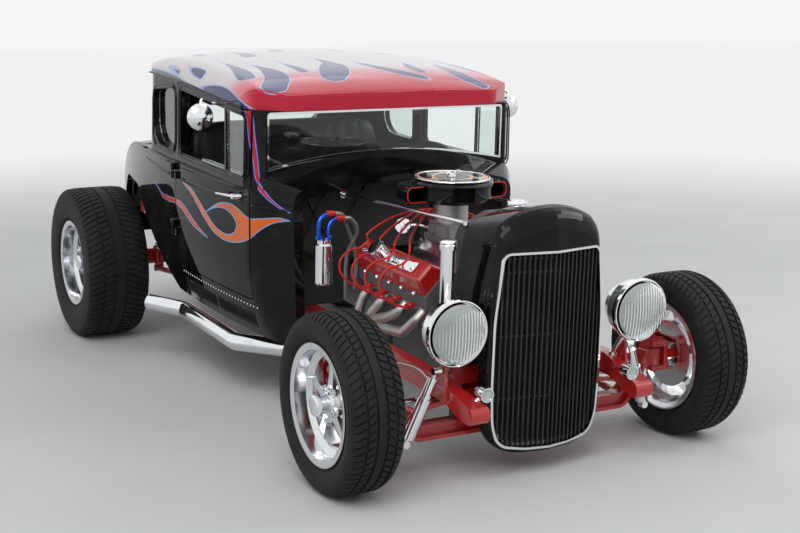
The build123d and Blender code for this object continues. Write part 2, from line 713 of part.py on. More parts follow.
def make_front_suspension():
    """Dropped I-beam axle, transverse leaf spring, radius rods and shock absorbers."""
    outline = beam_outline()
    beam = front_prism(outline, FRONT_Y - BEAM_T / 2, FRONT_Y + BEAM_T / 2)
    pocket = offset(outline, -13).faces().sort_by(SortBy.AREA)[-1]
    for y0 in (FRONT_Y - BEAM_T / 2 - 1, FRONT_Y + 8):
        beam = beam.cut(front_prism(pocket, y0, y0 + BEAM_T / 2 - 7)
                        & box(-530, 530, FRONT_Y - 90, FRONT_Y + 90, 100, 400))
    bosses = []
    for sign in (-1, 1):
        boss = Pos(sign * KINGPIN_X, FRONT_Y, FRONT_TYRE_R) * Cylinder(BOSS_R, BOSS_H)
        pin = Pos(sign * KINGPIN_X, FRONT_Y, FRONT_TYRE_R) * Cylinder(KINGPIN_R, BOSS_H + 2 * LUG_T + 24)
        clear = box(*sorted((sign * (KINGPIN_X + 1), sign * 700)), FRONT_Y - 60, FRONT_Y + 60, 200, 420)
        beam = beam.cut(clear)
        bosses += [boss, pin]
    add("front_axle", joined(beam, *bosses))

    # Leaves of the spring, longest at the bottom, under the front crossmember
    leaves = []
    leaf_t, arch_r = 8.0, 2300.0
    crown = sprung_point(0, FRONT_Y, SPRING_SEAT_Z)[2] - 1.5
    for i in range(6):
        half = 440 - 62 * i
        top = crown - 6 * leaf_t + (i + 1) * leaf_t
        r_out, r_in = arch_r, arch_r - leaf_t
        ring = make_face([
            ThreePointArc(arc_point(-half, top, r_out), (0, top), arc_point(half, top, r_out)),
            Line(arc_point(half, top, r_out), arc_point(half, top - leaf_t, r_in)),
            ThreePointArc(arc_point(half, top - leaf_t, r_in), (0, top - leaf_t),
                          arc_point(-half, top - leaf_t, r_in)),
            Line(arc_point(-half, top - leaf_t, r_in), arc_point(-half, top, r_out)),
        ])
        leaves.append(front_prism(ring, FRONT_Y - 24, FRONT_Y + 24))
    stack = leaves[0]
    for leaf in leaves[1:]:
        stack = stack.fuse(leaf)
    eye_x, eye_z = arc_point(440, crown - 5 * leaf_t - leaf_t / 2, arch_r - leaf_t / 2)
    extras = []
    for sign in (-1, 1):
        extras.append(rod((sign * eye_x, FRONT_Y - 24, eye_z), (sign * eye_x, FRONT_Y + 24, eye_z), 14))
        for y in (FRONT_Y - 30, FRONT_Y + 24):
            extras.append(box(*sorted((sign * (eye_x - 11), sign * (eye_x + 11))), y, y + 6, eye_z - 8,
                              eye_z + 8))
    add("front_spring", joined(stack, *extras))

    # Radius rods from the beam back to the frame
    rods = []
    for sign in (-1, 1):
        eye, end = mount_eye(sign, ARM_MOUNT_Y)
        front = (sign * 470, FRONT_Y + BEAM_T / 2 + 10, BEAM_Z + BEAM_H / 2 + 4)
        bar = rod(front, end, 14, 12)
        clamp = box(*sorted((sign * 452, sign * 490)), FRONT_Y + BEAM_T / 2, FRONT_Y + BEAM_T / 2 + 14,
                    BEAM_Z + 6, BEAM_Z + BEAM_H + 8)
        rods.append(joined(bar, clamp, eye))
    add("radius_rods", *rods)

    shocks = []
    for sign in (-1, 1):
        top = sprung_point(sign * (RAIL_OUTER_X + 29), SHOCK_TOP_Y, 540)
        low = (sign * 503, FRONT_Y - 65, BEAM_Z + 14)
        shaft = rod(top, low, 7)
        dust_tube = rod(along(top, low, 26), along(top, low, 110), 19)
        body = rod(along(top, low, 100), along(low, top, 22), 23)
        eye_top = rod((top[0] - 14, top[1], top[2]), (top[0] + 14, top[1], top[2]), 13)
        eye_low = rod((low[0], low[1] - 13, low[2]), (low[0], low[1] + 13, low[2]), 13)
        shocks.append(joined(shaft, dust_tube, body, eye_top, eye_low))
    add("shock_absorbers", *shocks)


def mount_eye(sign, y):
    """The eye at a rod's end, against the plate on the rail at y, and the rod's end point in it."""
    x0 = RAIL_OUTER_X + PLATE_T + RUN
    a = sprung_point(sign * x0, y, MOUNT_Z)
    b = sprung_point(sign * (x0 + EYE_L), y, MOUNT_Z)
    return rod(a, b, EYE_R), sprung_point(sign * (x0 + EYE_L / 2), y, MOUNT_Z)


def along(start, end, distance):
    """The point at a distance from start on the way to end."""
    a = Vector(*start)
    return tuple(a + (Vector(*end) - a).normalized() * distance)


def arc_point(x, top, r):
    """A point (x, z) on an arc that peaks at height top."""
    return (x, top - (r - sqrt(r * r - x * x)))


def sprung_point(x, y, z):
    """Where a level point lies once the body is turned nose down."""
    a = radians(RAKE)
    dz = z - REAR_TYRE_R
    return (x, y * cos(a) - dz * sin(a), REAR_TYRE_R + y * sin(a) + dz * cos(a))


def make_knuckles():
    """Steered knuckles with spindle, steering arm and brake caliper, and the tie rod."""
    x, z = KINGPIN_X, FRONT_TYRE_R
    top0 = z + BOSS_H / 2 + GAP
    low1 = z - BOSS_H / 2 - GAP
    upper = Pos(x, FRONT_Y, top0 + LUG_T / 2) * Cylinder(BOSS_R, LUG_T)
    lower = Pos(x, FRONT_Y, low1 - LUG_T / 2) * Cylinder(BOSS_R, LUG_T)
    upper_arm = box(x, x + 50, FRONT_Y - BOSS_R, FRONT_Y + BOSS_R, top0, top0 + LUG_T)
    lower_arm = box(x, x + 50, FRONT_Y - BOSS_R, FRONT_Y + BOSS_R, low1 - LUG_T, low1)
    web = box(x + 31, x + 50, FRONT_Y - BOSS_R, FRONT_Y + BOSS_R, low1 - LUG_T, top0 + LUG_T)
    spindle = rod((x + 40, FRONT_Y, z), (SPINDLE_X, FRONT_Y, z), SPINDLE_R)
    arm_z0, arm_z1 = low1 - LUG_T, low1 - 2
    ends = ((x, FRONT_Y), (ARM_X, FRONT_Y + ARM_BACK))
    arm_plan = make_hull([Pos(*ends[0]) * Circle(17).edge(), Pos(*ends[1]) * Circle(15).edge()])
    arm = extrude(Pos(0, 0, arm_z0) * arm_plan, amount=arm_z1 - arm_z0)
    caliper = (revolve(polygon((x + 52, 92), (x + 52, 150), (x + 99, 150), (x + 99, 92),
                               (x + 92, 92), (x + 92, DISC_R + 5), (x + 64, DISC_R + 5), (x + 64, 92)),
                       axis=Axis.X, revolution_arc=58))
    caliper = Pos(0, FRONT_Y, z) * Rot(-8, 0, 0) * caliper
    bracket = box(x + 44, x + 54, FRONT_Y + 10, FRONT_Y + 112, z - 20, z + 60)
    knuckle = joined(upper, lower, upper_arm, lower_arm, web, spindle, arm, caliper, bracket)
    bore = Pos(x, FRONT_Y, z) * Cylinder(KINGPIN_R + RUN, 400)
    knuckle = knuckle.cut(bore)
    for name, flip, slack in (("left", False, RUN), ("right", True, 2 * RUN)):
        pin_hole = Pos(ARM_X, FRONT_Y + ARM_BACK, arm_z0) * Cylinder(TIE_PIN_R + slack, 80)
        piece = knuckle.cut(pin_hole)
        add("knuckle_" + name, mirrored(piece) if flip else piece)

    rod_z = arm_z0 - GAP - TIE_ROD_R - 6
    y = FRONT_Y + ARM_BACK
    pieces = [rod((-ARM_X, y, rod_z), (ARM_X, y, rod_z), TIE_ROD_R)]
    for sign in (-1, 1):
        pieces.append(Pos(sign * ARM_X, y, rod_z) * Cylinder(17, 2 * (TIE_ROD_R + 6)))
        pieces.append(rod((sign * ARM_X, y, rod_z), (sign * ARM_X, y, arm_z1 + 12), TIE_PIN_R))
    add("tie_rod", joined(*pieces))


def tyre_profile(radius, width, rim_w):
    """Half section of a tyre as (along, radius), from bead to bead over the tread."""
    w, b = width / 2, rim_w / 2 - 9
    shoulder = radius - 14
    half = [(b, BEAD_R + SEAT), (b, BEAD_R + 22), (w - 8, BEAD_R + 36), (w, (BEAD_R + radius) / 2 + 4),
            (w - 3, shoulder - 18), (w - 14, shoulder + 2), (w - 40, radius)]
    return [(-x, r) for x, r in half] + [(x, r) for x, r in reversed(half)]


def rim_profile(rim_w, well):
    """Wall section of a rim as (along, radius): outer line, then back along the inside."""
    h = rim_w / 2
    seat = BEAD_R
    t = RIM_WALL
    well_r = BEAD_R - WELL_DEPTH
    w0, w1 = well
    outer = [(-h, RIM_LIP_R), (-h + 7, RIM_LIP_R), (-h + 8, seat), (w0 - 14, seat), (w0, well_r),
             (w1, well_r), (w1 + 14, seat), (h - 8, seat), (h - 7, RIM_LIP_R), (h, RIM_LIP_R)]
    inner = [(h, RIM_LIP_R - 6), (h - 4, seat - t), (w1 + 17, seat - t), (w1 + 2, well_r - t),
             (w0 - 2, well_r - t), (w0 - 17, seat - t), (-h + 4, seat - t), (-h, RIM_LIP_R - 6)]
    return outer + inner


def wheel(rim_w, well, face_x, back_extra):
    """One five-spoke wheel about the X axis, with its outer side towards +X."""
    barrel = revolve(polygon(*rim_profile(rim_w, well)), axis=Axis.X)
    inner_r = BEAD_R - WELL_DEPTH - RIM_WALL
    hub = revolve(polygon((0, 0), (0, 74), (14, 74), (face_x - 4, 50), (face_x + 8, 46),
                          (face_x + 16, 36), (face_x + 54, 26), (face_x + 62, 18), (face_x + 64, 0)),
                  axis=Axis.X)
    spokes = []
    x_out = face_x + 4

    def up(r):
        return Plane(origin=(0, 0, r), x_dir=(0, 1, 0), z_dir=(0, 0, -1))

    for i in range(5):
        foot = polygon((-25, x_out - 34), (25, x_out - 34), (21, x_out), (-21, x_out))
        shoulder = polygon((-17, x_out - 40), (17, x_out - 40), (14, x_out - 8), (-14, x_out - 8))
        tip = polygon((-27, x_out - 46), (27, x_out - 46), (24, x_out - 14), (-24, x_out - 14))
        faces = [up(34) * foot, up(104) * shoulder, up(inner_r + 4) * tip]
        spokes.append(Rot(72 * i, 0, 0) * loft(faces, ruled=True))
    body = joined(barrel, hub, *spokes)
    lugs = []
    for i in range(5):
        a = radians(72 * i + 36)
        y, z = 57 * sin(a), 57 * cos(a)
        lugs.append(rod((10, y, z), (face_x + 4, y, z), 9))
    body = joined(body, *lugs)
    for piece in back_extra:
        body = joined(body, piece)
    return body


def make_wheels():
    """Four wheels and tyres; each front wheel carries its disc, each rear one its drum."""
    x0 = WHEEL_X
    disc = revolve(polygon((-45, 62), (-45, DISC_R), (-25, DISC_R), (-25, 76), (0, 72), (0, 40),
                           (-25, 40), (-25, 62)), axis=Axis.X)
    front = wheel(FRONT_RIM_W, (-30, 20), 34, [disc])
    bore = rod((-200, 0, 0), (SPINDLE_X - x0 + 2, 0, 0), SPINDLE_R + RUN)
    front = front.cut(bore)
    drum = revolve(polygon((-152, DRUM_R), (-64, DRUM_R), (-56, DRUM_R - 10), (-56, 60), (0, 60),
                           (0, 30), (-66, 30), (-66, DRUM_R - 12), (-152, DRUM_R - 12)), axis=Axis.X)
    shaft = rod((-190, 0, 0), (4, 0, 0), 17)
    rear = wheel(REAR_RIM_W, (-20, 60), 40, [drum, shaft])
    front_tyre = revolve(polygon(*tyre_profile(FRONT_TYRE_R, FRONT_TYRE_W, FRONT_RIM_W)), axis=Axis.X)
    rear_tyre = revolve(polygon(*tyre_profile(REAR_TYRE_R, REAR_TYRE_W, REAR_RIM_W)), axis=Axis.X)
    for end, tyre, rim, y, z in (("front", front_tyre, front, FRONT_Y, FRONT_TYRE_R),
                                 ("rear", rear_tyre, rear, 0, REAR_TYRE_R)):
        for side, flip in (("left", False), ("right", True)):
            for kind, piece in (("tyre", tyre), ("wheel", rim)):
                placed = Pos(x0, y, z) * piece
                add(f"{kind}_{end}_{side}", mirrored(placed) if flip else placed)


def make_rear_axle():
    """Rear axle housing with its ladder bars and coil-over shock absorbers."""
    z = REAR_TYRE_R
    differential = revolve(make_face([ThreePointArc((-118, 0), (0, 124), (118, 0)), Line((118, 0), (-118, 0))]),
                           axis=Axis.X)
    housing = [rod((-AXLE_TUBE_X, 0, z), (AXLE_TUBE_X, 0, z), AXLE_TUBE_R),
               Pos(0, 0, z) * differential,
               rod((0, -60, z), (0, PINION_Y + 14, z), 66, 40),
               rod((0, PINION_Y + 20, z), (0, PINION_Y, z), 48)]
    for sign in (-1, 1):
        housing.append(rod((sign * (AXLE_TUBE_X - 8), 0, z), (sign * AXLE_TUBE_X, 0, z), DRUM_R - 2))
        housing.append(box(*sorted((sign * (AXLE_PLATE_X - 16), sign * AXLE_PLATE_X)), LADDER_Y - 14, 10,
                           z - 72, z + 62))
    body = joined(*housing)
    for sign in (-1, 1):
        body = body.cut(rod((sign * 500, 0, z), (sign * 600, 0, z), 17 + 2))
    add("rear_axle", body)

    bars = []
    for sign in (-1, 1):
        eye, front = mount_eye(sign, BAR_MOUNT_Y)
        x = sign * (AXLE_PLATE_X + EYE_L / 2 + RUN)
        pieces = [eye, rod((x, LADDER_Y, z + 44), (x, LADDER_Y, z - 54), 12)]
        for height in (44, -54):
            pieces.append(rod((x, LADDER_Y, z + height), front, 13))
            pieces.append(Pos(x, LADDER_Y, z + height) * Rot(0, 90, 0) * Cylinder(EYE_R, EYE_L))
        bars.append(joined(*pieces))
    add("ladder_bars", *bars)

    coils = []
    for sign in (-1, 1):
        top = sprung_point(sign * COIL_X, -404, COIL_TOP_Z)
        low = (sign * 330, -52, z + 22)
        length = (Vector(*low) - Vector(*top)).length
        parts = [rod(top, low, 11),
                 rod((top[0] - 15, top[1], top[2]), (top[0] + 15, top[1], top[2]), 14)]
        turns = 8
        pitch = (length - 110) / turns
        for i in range(turns):
            turn_start = 52 + i * pitch
            parts.append(rod(along(top, low, turn_start), along(top, low, turn_start + pitch * 0.55), 36))
        parts.append(rod(along(top, low, 50), along(low, top, 56), 27))
        coils.append(joined(*parts))
    add("coil_overs", *coils)


def bank_point(d, v):
    """A front view point on the left bank: d out along it, v across it, outwards and down."""
    a = radians(BANK)
    return (d * sin(a) + v * cos(a), CRANK_Z + d * cos(a) - v * sin(a))


def bank_prism(points, y0, y1):
    """A prism along the left bank from points (d, v)."""
    return front_prism(polygon(*[bank_point(d, v) for d, v in points]), y0, y1)


def make_engine():
    """V8 block, covers, intake, carburettor, air cleaner, headers and front drive."""
    y0, y1 = ENGINE_FRONT_Y, ENGINE_REAR_Y
    outer = bank_point(DECK_D, 76)
    inner = bank_point(DECK_D, -76)
    half = [(0, 430), (128, 430), (140, 470), (158, 540), outer, inner, (58, 690), (0, 690)]
    block = front_prism(polygon(*half, *[(-x, z) for x, z in reversed(half[1:-1])]), y0 + 18, y1 - 12)
    head = bank_prism(((DECK_D, -HEAD_HALF_W), (DECK_D, HEAD_HALF_W), (HEAD_D - 34, HEAD_HALF_W + 6),
                       (HEAD_D, HEAD_HALF_W - 18), (HEAD_D, -HEAD_HALF_W + 14)), y0, y1 - 6)
    pan = front_prism(polygon((-124, 430), (124, 430), (112, 350), (-112, 350)), y0 + 30, y1 - 20)
    sump = box(-104, 104, -2230, y1 - 40, 318, 352)
    bell = front_prism(Pos(0, CRANK_Z) * Circle(150), y1 - 14, y1)
    block = joined(block, *both(head), pan, sump, bell)
    add("engine_block", sprung(block))

    cover = bank_prism(((HEAD_D, -COVER_HALF_W), (HEAD_D, COVER_HALF_W), (HEAD_D + 14, COVER_HALF_W),
                        (COVER_D, COVER_HALF_W - 22), (COVER_D, -COVER_HALF_W + 18),
                        (HEAD_D + 20, -COVER_HALF_W)), y0 + 12, y1 - 24)
    tops = [e for e in cover.edges() if e.center().Y < y0 + 12.5 or e.center().Y > y1 - 24.5]
    tops = [e for e in tops if (e.center().X * sin(radians(BANK))
                                + (e.center().Z - CRANK_Z) * cos(radians(BANK))) > HEAD_D + 20]
    longs = [e for e in cover.edges() if e.length > 400
             and (e.center().X + e.center().Z - CRANK_Z) * cos(radians(BANK)) > COVER_D - 5]
    cover = fillet(tops + longs, 15)
    breather_y, breather_d = -2150, COVER_D
    bx, bz = bank_point(breather_d - 2, -2)
    tx, tz = bank_point(breather_d + 46, -2)
    plate = bank_prism(((COVER_D - 1, -26), (COVER_D - 1, 20), (COVER_D + 5, 18), (COVER_D + 5, -24)),
                       y0 + 70, y1 - 60)
    breather = rod((bx, breather_y, bz), (tx, breather_y, tz), 31)
    cover = joined(cover, plate, breather)
    add("valve_covers", *[sprung(s) for s in both(cover)])

    # Intake manifold in the valley, with the distributor behind it
    low, wide = 690, 74
    manifold = front_prism(polygon((-46, low), (46, low), (wide + 34, 764), (wide + 20, 800),
                                   (60, 838), (-60, 838), (-wide - 20, 800), (-wide - 34, 764)),
                           y0 + 60, y1 - 126)
    distributor = joined(rod((0, y1 - 60, low), (0, y1 - 60, 800), 26),
                         rod((0, y1 - 60, 800), (0, y1 - 60, 872), 52, 42))
    add("intake_manifold", sprung(manifold))
    add("distributor", sprung(distributor))

    cy = CLEANER_Y
    carb_z0 = 838
    base_z = CLEANER_TOP_Z - CLEANER_H
    carb = joined(box(-72, 72, cy - 104, cy + 76, carb_z0, carb_z0 + 22),
                  box(-58, 58, cy - 92, cy + 64, carb_z0 + 22, carb_z0 + 74),
                  box(-78, 78, cy - 78, cy - 30, carb_z0 + 26, carb_z0 + 66),
                  box(-70, 70, cy + 14, cy + 50, carb_z0 + 30, carb_z0 + 60),
                  rod((0, cy, carb_z0 + 74), (0, cy, base_z), 64))
    add("carburettor", sprung(carb))

    # Air cleaner: a drum with a lipped lid and a snorkel on each side that opens forwards
    drum = spun_z(((0, 0), (CLEANER_R - 26, 0), (CLEANER_R - 6, 14), (CLEANER_R - 6, CLEANER_H - 30),
                   (CLEANER_R, CLEANER_H - 26), (CLEANER_R, CLEANER_H - 18), (CLEANER_LID_R, CLEANER_H - 8),
                   (CLEANER_LID_R - 10, CLEANER_H), (0, CLEANER_H)), 0, cy, base_z)
    x_in, x_out, y_mouth = CLEANER_R - 60, CLEANER_R + 60, cy - 42
    snout_plan = rounded(polygon((x_in, y_mouth), (x_out, y_mouth), (x_out + 3, cy + 30), (x_out - 24, cy + 95),
                                 (x_in, cy + 130)),
                         (((x_out + 3, cy + 30), 60), ((x_out - 24, cy + 95), 60)))
    snout = extrude(Pos(0, 0, base_z + 4) * snout_plan, amount=SNORKEL_H)
    rims = [e for e in snout.edges() if e.center().X > x_out - 60 and e.bounding_box().size.Z < 1
            and e.center().Y > y_mouth + 2]
    snout = fillet(rims, 18)
    mouth = across(y_mouth + 90) * (Pos(x_out - 8 - SNORKEL_W / 2, base_z + 4 + SNORKEL_H / 2)
                                    * RectangleRounded(SNORKEL_W - 8, SNORKEL_H - 12, 22))
    mouth = extrude(mouth, amount=120).cut(spun_z(((0, 0), (CLEANER_R - 6, 0), (CLEANER_R - 6, 90), (0, 90)),
                                                  0, cy, base_z))
    stud = rod((0, cy, CLEANER_TOP_Z - 2), (0, cy, CLEANER_TOP_Z + 14), 12, 8)
    cleaner = joined(drum, *both(snout), stud)
    for hole in both(mouth):
        cleaner = cleaner.cut(hole)
    add("air_cleaner", sprung(cleaner))

    # Headers: a flange along the head and four tubes that run back into a log, then a down pipe
    def face_v(d):
        """How far the head's exhaust face lies from the bank's middle at d."""
        return HEAD_HALF_W + 6 * (d - DECK_D) / (HEAD_D - 34 - DECK_D) + RUN

    flange_d = (PORT_D - 20, PORT_D + 20)
    pieces = [bank_prism([(d, face_v(d)) for d in flange_d]
                         + [(d, face_v(d) + FLANGE_T) for d in reversed(flange_d)],
                         TUBES[0][0] - 34, TUBES[-1][0] + 34)]
    port_x, port_z = bank_point(PORT_D, face_v(PORT_D) + FLANGE_T / 2)
    log_start = (LOG_X, TUBES[0][4] - 6, TUBES[0][5] + 4)
    log_end = (LOG_X, TUBES[-1][4] + 5, TUBES[-1][5] - 4)
    pieces.append(rod(log_start, log_end, LOG_R, LOG_R - 3))
    for port_y, bend_y, bend_x, bend_z, end_y, end_z in TUBES:
        pieces.append(bent_bar(((port_x, port_y, port_z), (port_x + 33, port_y + 3, port_z - 33),
                                (bend_x, bend_y, bend_z), (LOG_X, end_y, end_z)), TUBE_R, 24))
    down = bent_bar((log_end, (LOG_X, -1900, 450), (LOG_X + 6, -1790, 400), (LOG_X + 20, -1740, 344)), 28, 60)
    header = joined(*pieces, down)
    add("exhaust_headers", *[sprung(s) for s in both(header)])

    # Side pipes under the sills, with turned-out tips
    pipe_z = 296
    run = ((LOG_X + 60, -1700, 330), (LOG_X + 150, -1600, 310), (556, -1400, pipe_z),
           (556, -800, pipe_z - 4), (652, -600, pipe_z - 8))
    pipe = bent_bar(run, PIPE_R, 90)
    bore = rod((652 + 96 * 0.12, -600 + 200 * 0.12, pipe_z - 8), (652 - 48, -700, pipe_z - 6), PIPE_R - 3)
    pipe = pipe.cut(bore)
    neck = rod((LOG_X + 20, -1740.0, 344), (LOG_X + 64, -1696, 329), 30)
    add("side_pipes", *[sprung(s) for s in both(joined(pipe, neck).cut(header))])

    # Front drive: pulleys, belt and fan
    crank = spun_y(((0, 0), (78, 0), (78, -36), (30, -36), (30, -52), (0, -52)), 0, y0 + 18, CRANK_Z)
    pump = spun_y(((0, 0), (60, 0), (60, -34), (26, -34), (26, -72), (0, -72)), 0, y0 + 18, 668)
    shaft = rod((0, y0 + 18, 668), (0, y0 - 80, 668), 16)
    blades = []
    for i in range(6):
        blade = Pos(0, 0, 108) * Rot(0, 0, 28) * Box(62, 3, 120)
        blades.append(Pos(0, y0 - 66, 668) * Rot(0, 60 * i, 0) * blade)
    disc = Pos(0, y0 - 66, 668) * Rot(90, 0, 0) * Cylinder(56, 8)
    belt_outline = make_hull([Pos(0, CRANK_Z) * Circle(80).edge(), Pos(0, 668) * Circle(62).edge()])
    belt_hole = make_hull([Pos(0, CRANK_Z) * Circle(74).edge(), Pos(0, 668) * Circle(56).edge()])
    belt = front_prism(belt_outline, y0 - 14, y0 - 2).cut(front_prism(belt_hole, y0 - 20, y0 + 2))
    add("front_drive", sprung(joined(crank, pump, shaft, disc, belt, *blades)))


def make_drive():
    """Bell housing, gearbox and driveshaft."""
    y1 = ENGINE_REAR_Y
    pieces = [rod((0, y1, CRANK_Z), (0, -1760, CRANK_Z), 186, 110),
              box(-104, 104, -1762, -1330, 452, 620),
              rod((0, -1332, CRANK_Z), (0, -1190, CRANK_Z), 64, 44),
              box(-50, 50, -1338, -1292, RAIL_BOTTOM_Z + 16, 500)]
    add("gearbox", sprung(joined(*pieces)))
    end_z = 378.0
    shaft = rod((0, -1182, CRANK_Z), (0, PINION_Y - 5, end_z), 36)
    add("driveshaft", sprung(shaft))


def shell_outline(side, top):
    """Half of the grille shell in front view and a strip past its middle, drawn in by side and top."""
    foot, waist, hip, shoulder = (244, 224), (250, 520), (238, 780), (206, 1016)
    points = [(foot[0] - side, foot[1] + side / 2), (waist[0] - side, waist[1]), (hip[0] - side, hip[1]),
              (shoulder[0] - side, shoulder[1] - top)]
    crown = (0, SHELL_TOP_Z - top)
    low = (-SHELL_OVERLAP, points[0][1])
    middle = (points[3][0] * 0.54, crown[1] - (crown[1] - points[3][1]) * 0.27)
    face = make_face([Polyline(crown, (low[0], crown[1]), low, *points),
                      ThreePointArc(points[3], middle, crown)])
    return rounded(face, ((points[0], 145), (points[1], 2500), (points[2], 1500), (points[3], 80)))


def shell_form(wall):
    """The outer form of the grille shell, or the inner one drawn in by its wall: a V nose with round edges."""
    depths = (0, 3, 8, 16, 27, 44, SHELL_NOSE, SHELL_BACK_Y - GRILLE_Y)
    sides = []
    for depth in depths:
        near = 1 - min(depth / SHELL_NOSE, 1)
        edge = 1 - min(depth / SHELL_EDGE, 1)
        side_in = SHELL_EDGE * 0.6 * (1 - sqrt(1 - edge ** 2)) + wall
        top_in = SHELL_NOSE * 0.95 * (1 - sqrt(1 - near ** 2)) + wall
        if depth > SHELL_NOSE:
            side_in -= SHELL_FLARE
            top_in += SHELL_SINK
        turn = atan2(V_RISE, V_HALF_W) * near ** 0.5
        y = GRILLE_Y + depth + (1.8 * wall * (1 - depth / depths[-1]) if wall else 0)
        plane = Plane(origin=(0, y, 0), x_dir=(cos(turn), sin(turn), 0), z_dir=(sin(turn), -cos(turn), 0))
        sides.append(plane * shell_outline(side_in, top_in))
    one_side = box(0, 400, GRILLE_Y - 100, SHELL_BACK_Y + 100, 100, 1200)
    half = loft(sides, ruled=True) & one_side
    return joined(half, mirrored(half))


def grille_opening(grow):
    """The opening for the bars in front view."""
    g = grow
    half = [(90, 249 - g), (188 + g, 266 - g), (212 + g, 340), (218 + g, 480), (216 + g, 700),
            (191 + g, 929 + g)]
    face = polygon(*half, *[(-x, z) for x, z in reversed(half)])
    rules = []
    for (x, z), radius in zip(half, (200, 60 + g, 200, 1000, 1000, 25 + g)):
        rules += [((x, z), radius), ((-x, z), radius)]
    return rounded(face, rules)


def v_slab(y, thickness):
    """A slab whose front follows the shell's shallow V in plan."""
    w = V_HALF_W
    plan = polygon((-w, y + V_RISE), (0, y), (w, y + V_RISE), (w, y + V_RISE + thickness),
                   (0, y + thickness), (-w, y + V_RISE + thickness))
    return extrude(Pos(0, 0, 150) * plan, amount=1050)


def make_grille():
    """Grille shell, bars, bright trim, radiator and its cap."""
    skirt = rounded(polygon((SHELL_BACK_Y + 10, 792), (GRILLE_Y + 75, 545), (GRILLE_Y + 63, 150),
                            (SHELL_BACK_Y + 160, 150), (SHELL_BACK_Y + 160, 792)),
                    (((GRILLE_Y + 75, 545), 70),))
    shell = shell_form(0).cut(shell_form(SHELL_WALL)).cut(side_prism(skirt, -400, 400))
    shell = shell.cut(front_prism(grille_opening(0), GRILLE_Y - 40, GRILLE_Y + 140))
    add("grille_shell", sprung(shell))

    pitch = 2 * 220 / BAR_COUNT
    depth = 16
    opening = front_prism(grille_opening(-SEAT), GRILLE_Y - 40, GRILLE_Y + 110)
    slab = v_slab(GRILLE_Y + 4, depth) & opening
    bars = []
    for i in range(BAR_COUNT):
        x = (i - (BAR_COUNT - 1) / 2) * pitch
        bars.append(slab & box(x - BAR_T / 2, x + BAR_T / 2, GRILLE_Y - 50, GRILLE_Y + 140, 200, 960))
    tie_slab = v_slab(GRILLE_Y + 4 + depth - 5, 5) & opening
    ties = [tie_slab & box(-300, 300, GRILLE_Y - 50, GRILLE_Y + 140, z, z + 8)
            for z in (262, 420, 640, 860, 908)]
    add("grille_bars", sprung(joined(*bars, *ties)))

    bead = front_prism(grille_opening(8), GRILLE_Y - 40, GRILLE_Y + 110)
    bead = bead.cut(front_prism(grille_opening(0), GRILLE_Y - 60, GRILLE_Y + 140))
    add("grille_trim", sprung(bead & v_slab(GRILLE_Y - 7, 7)))

    y0, y1 = SHELL_BACK_Y, SHELL_BACK_Y + RADIATOR_T
    core = box(-226, 226, y0, y1, 330, 940)
    tank = rounded(polygon((-236, 940), (236, 940), (226, 985), (120, 1034), (-120, 1034), (-226, 985)),
                   (((226, 985), 30), ((-226, 985), 30), ((120, 1034), 40), ((-120, 1034), 40)))
    low_tank = box(-236, 236, y0, y1, 280, 330)
    neck = rod((0, y0 + 40, 1030), (0, y0 + 40, 1042), 24)
    cap = rod((0, y0 + 40, 1042), (0, y0 + 40, 1056), 34, 31)
    feet = [box(*sorted((sign * 200, sign * RAIL_INNER_X)), y0 + 12, y1 - 12, 440, 452) for sign in (-1, 1)]
    posts = [rod((sign * STAY_X, y0 + 22, 960), (sign * STAY_X, y0 + 22, STAY_FRONT_Z - EYE_DROP), 9)
             for sign in (-1, 1)]
    add("radiator", sprung(joined(core, front_prism(tank, y0, y1), low_tank, neck, cap, *feet, *posts)))


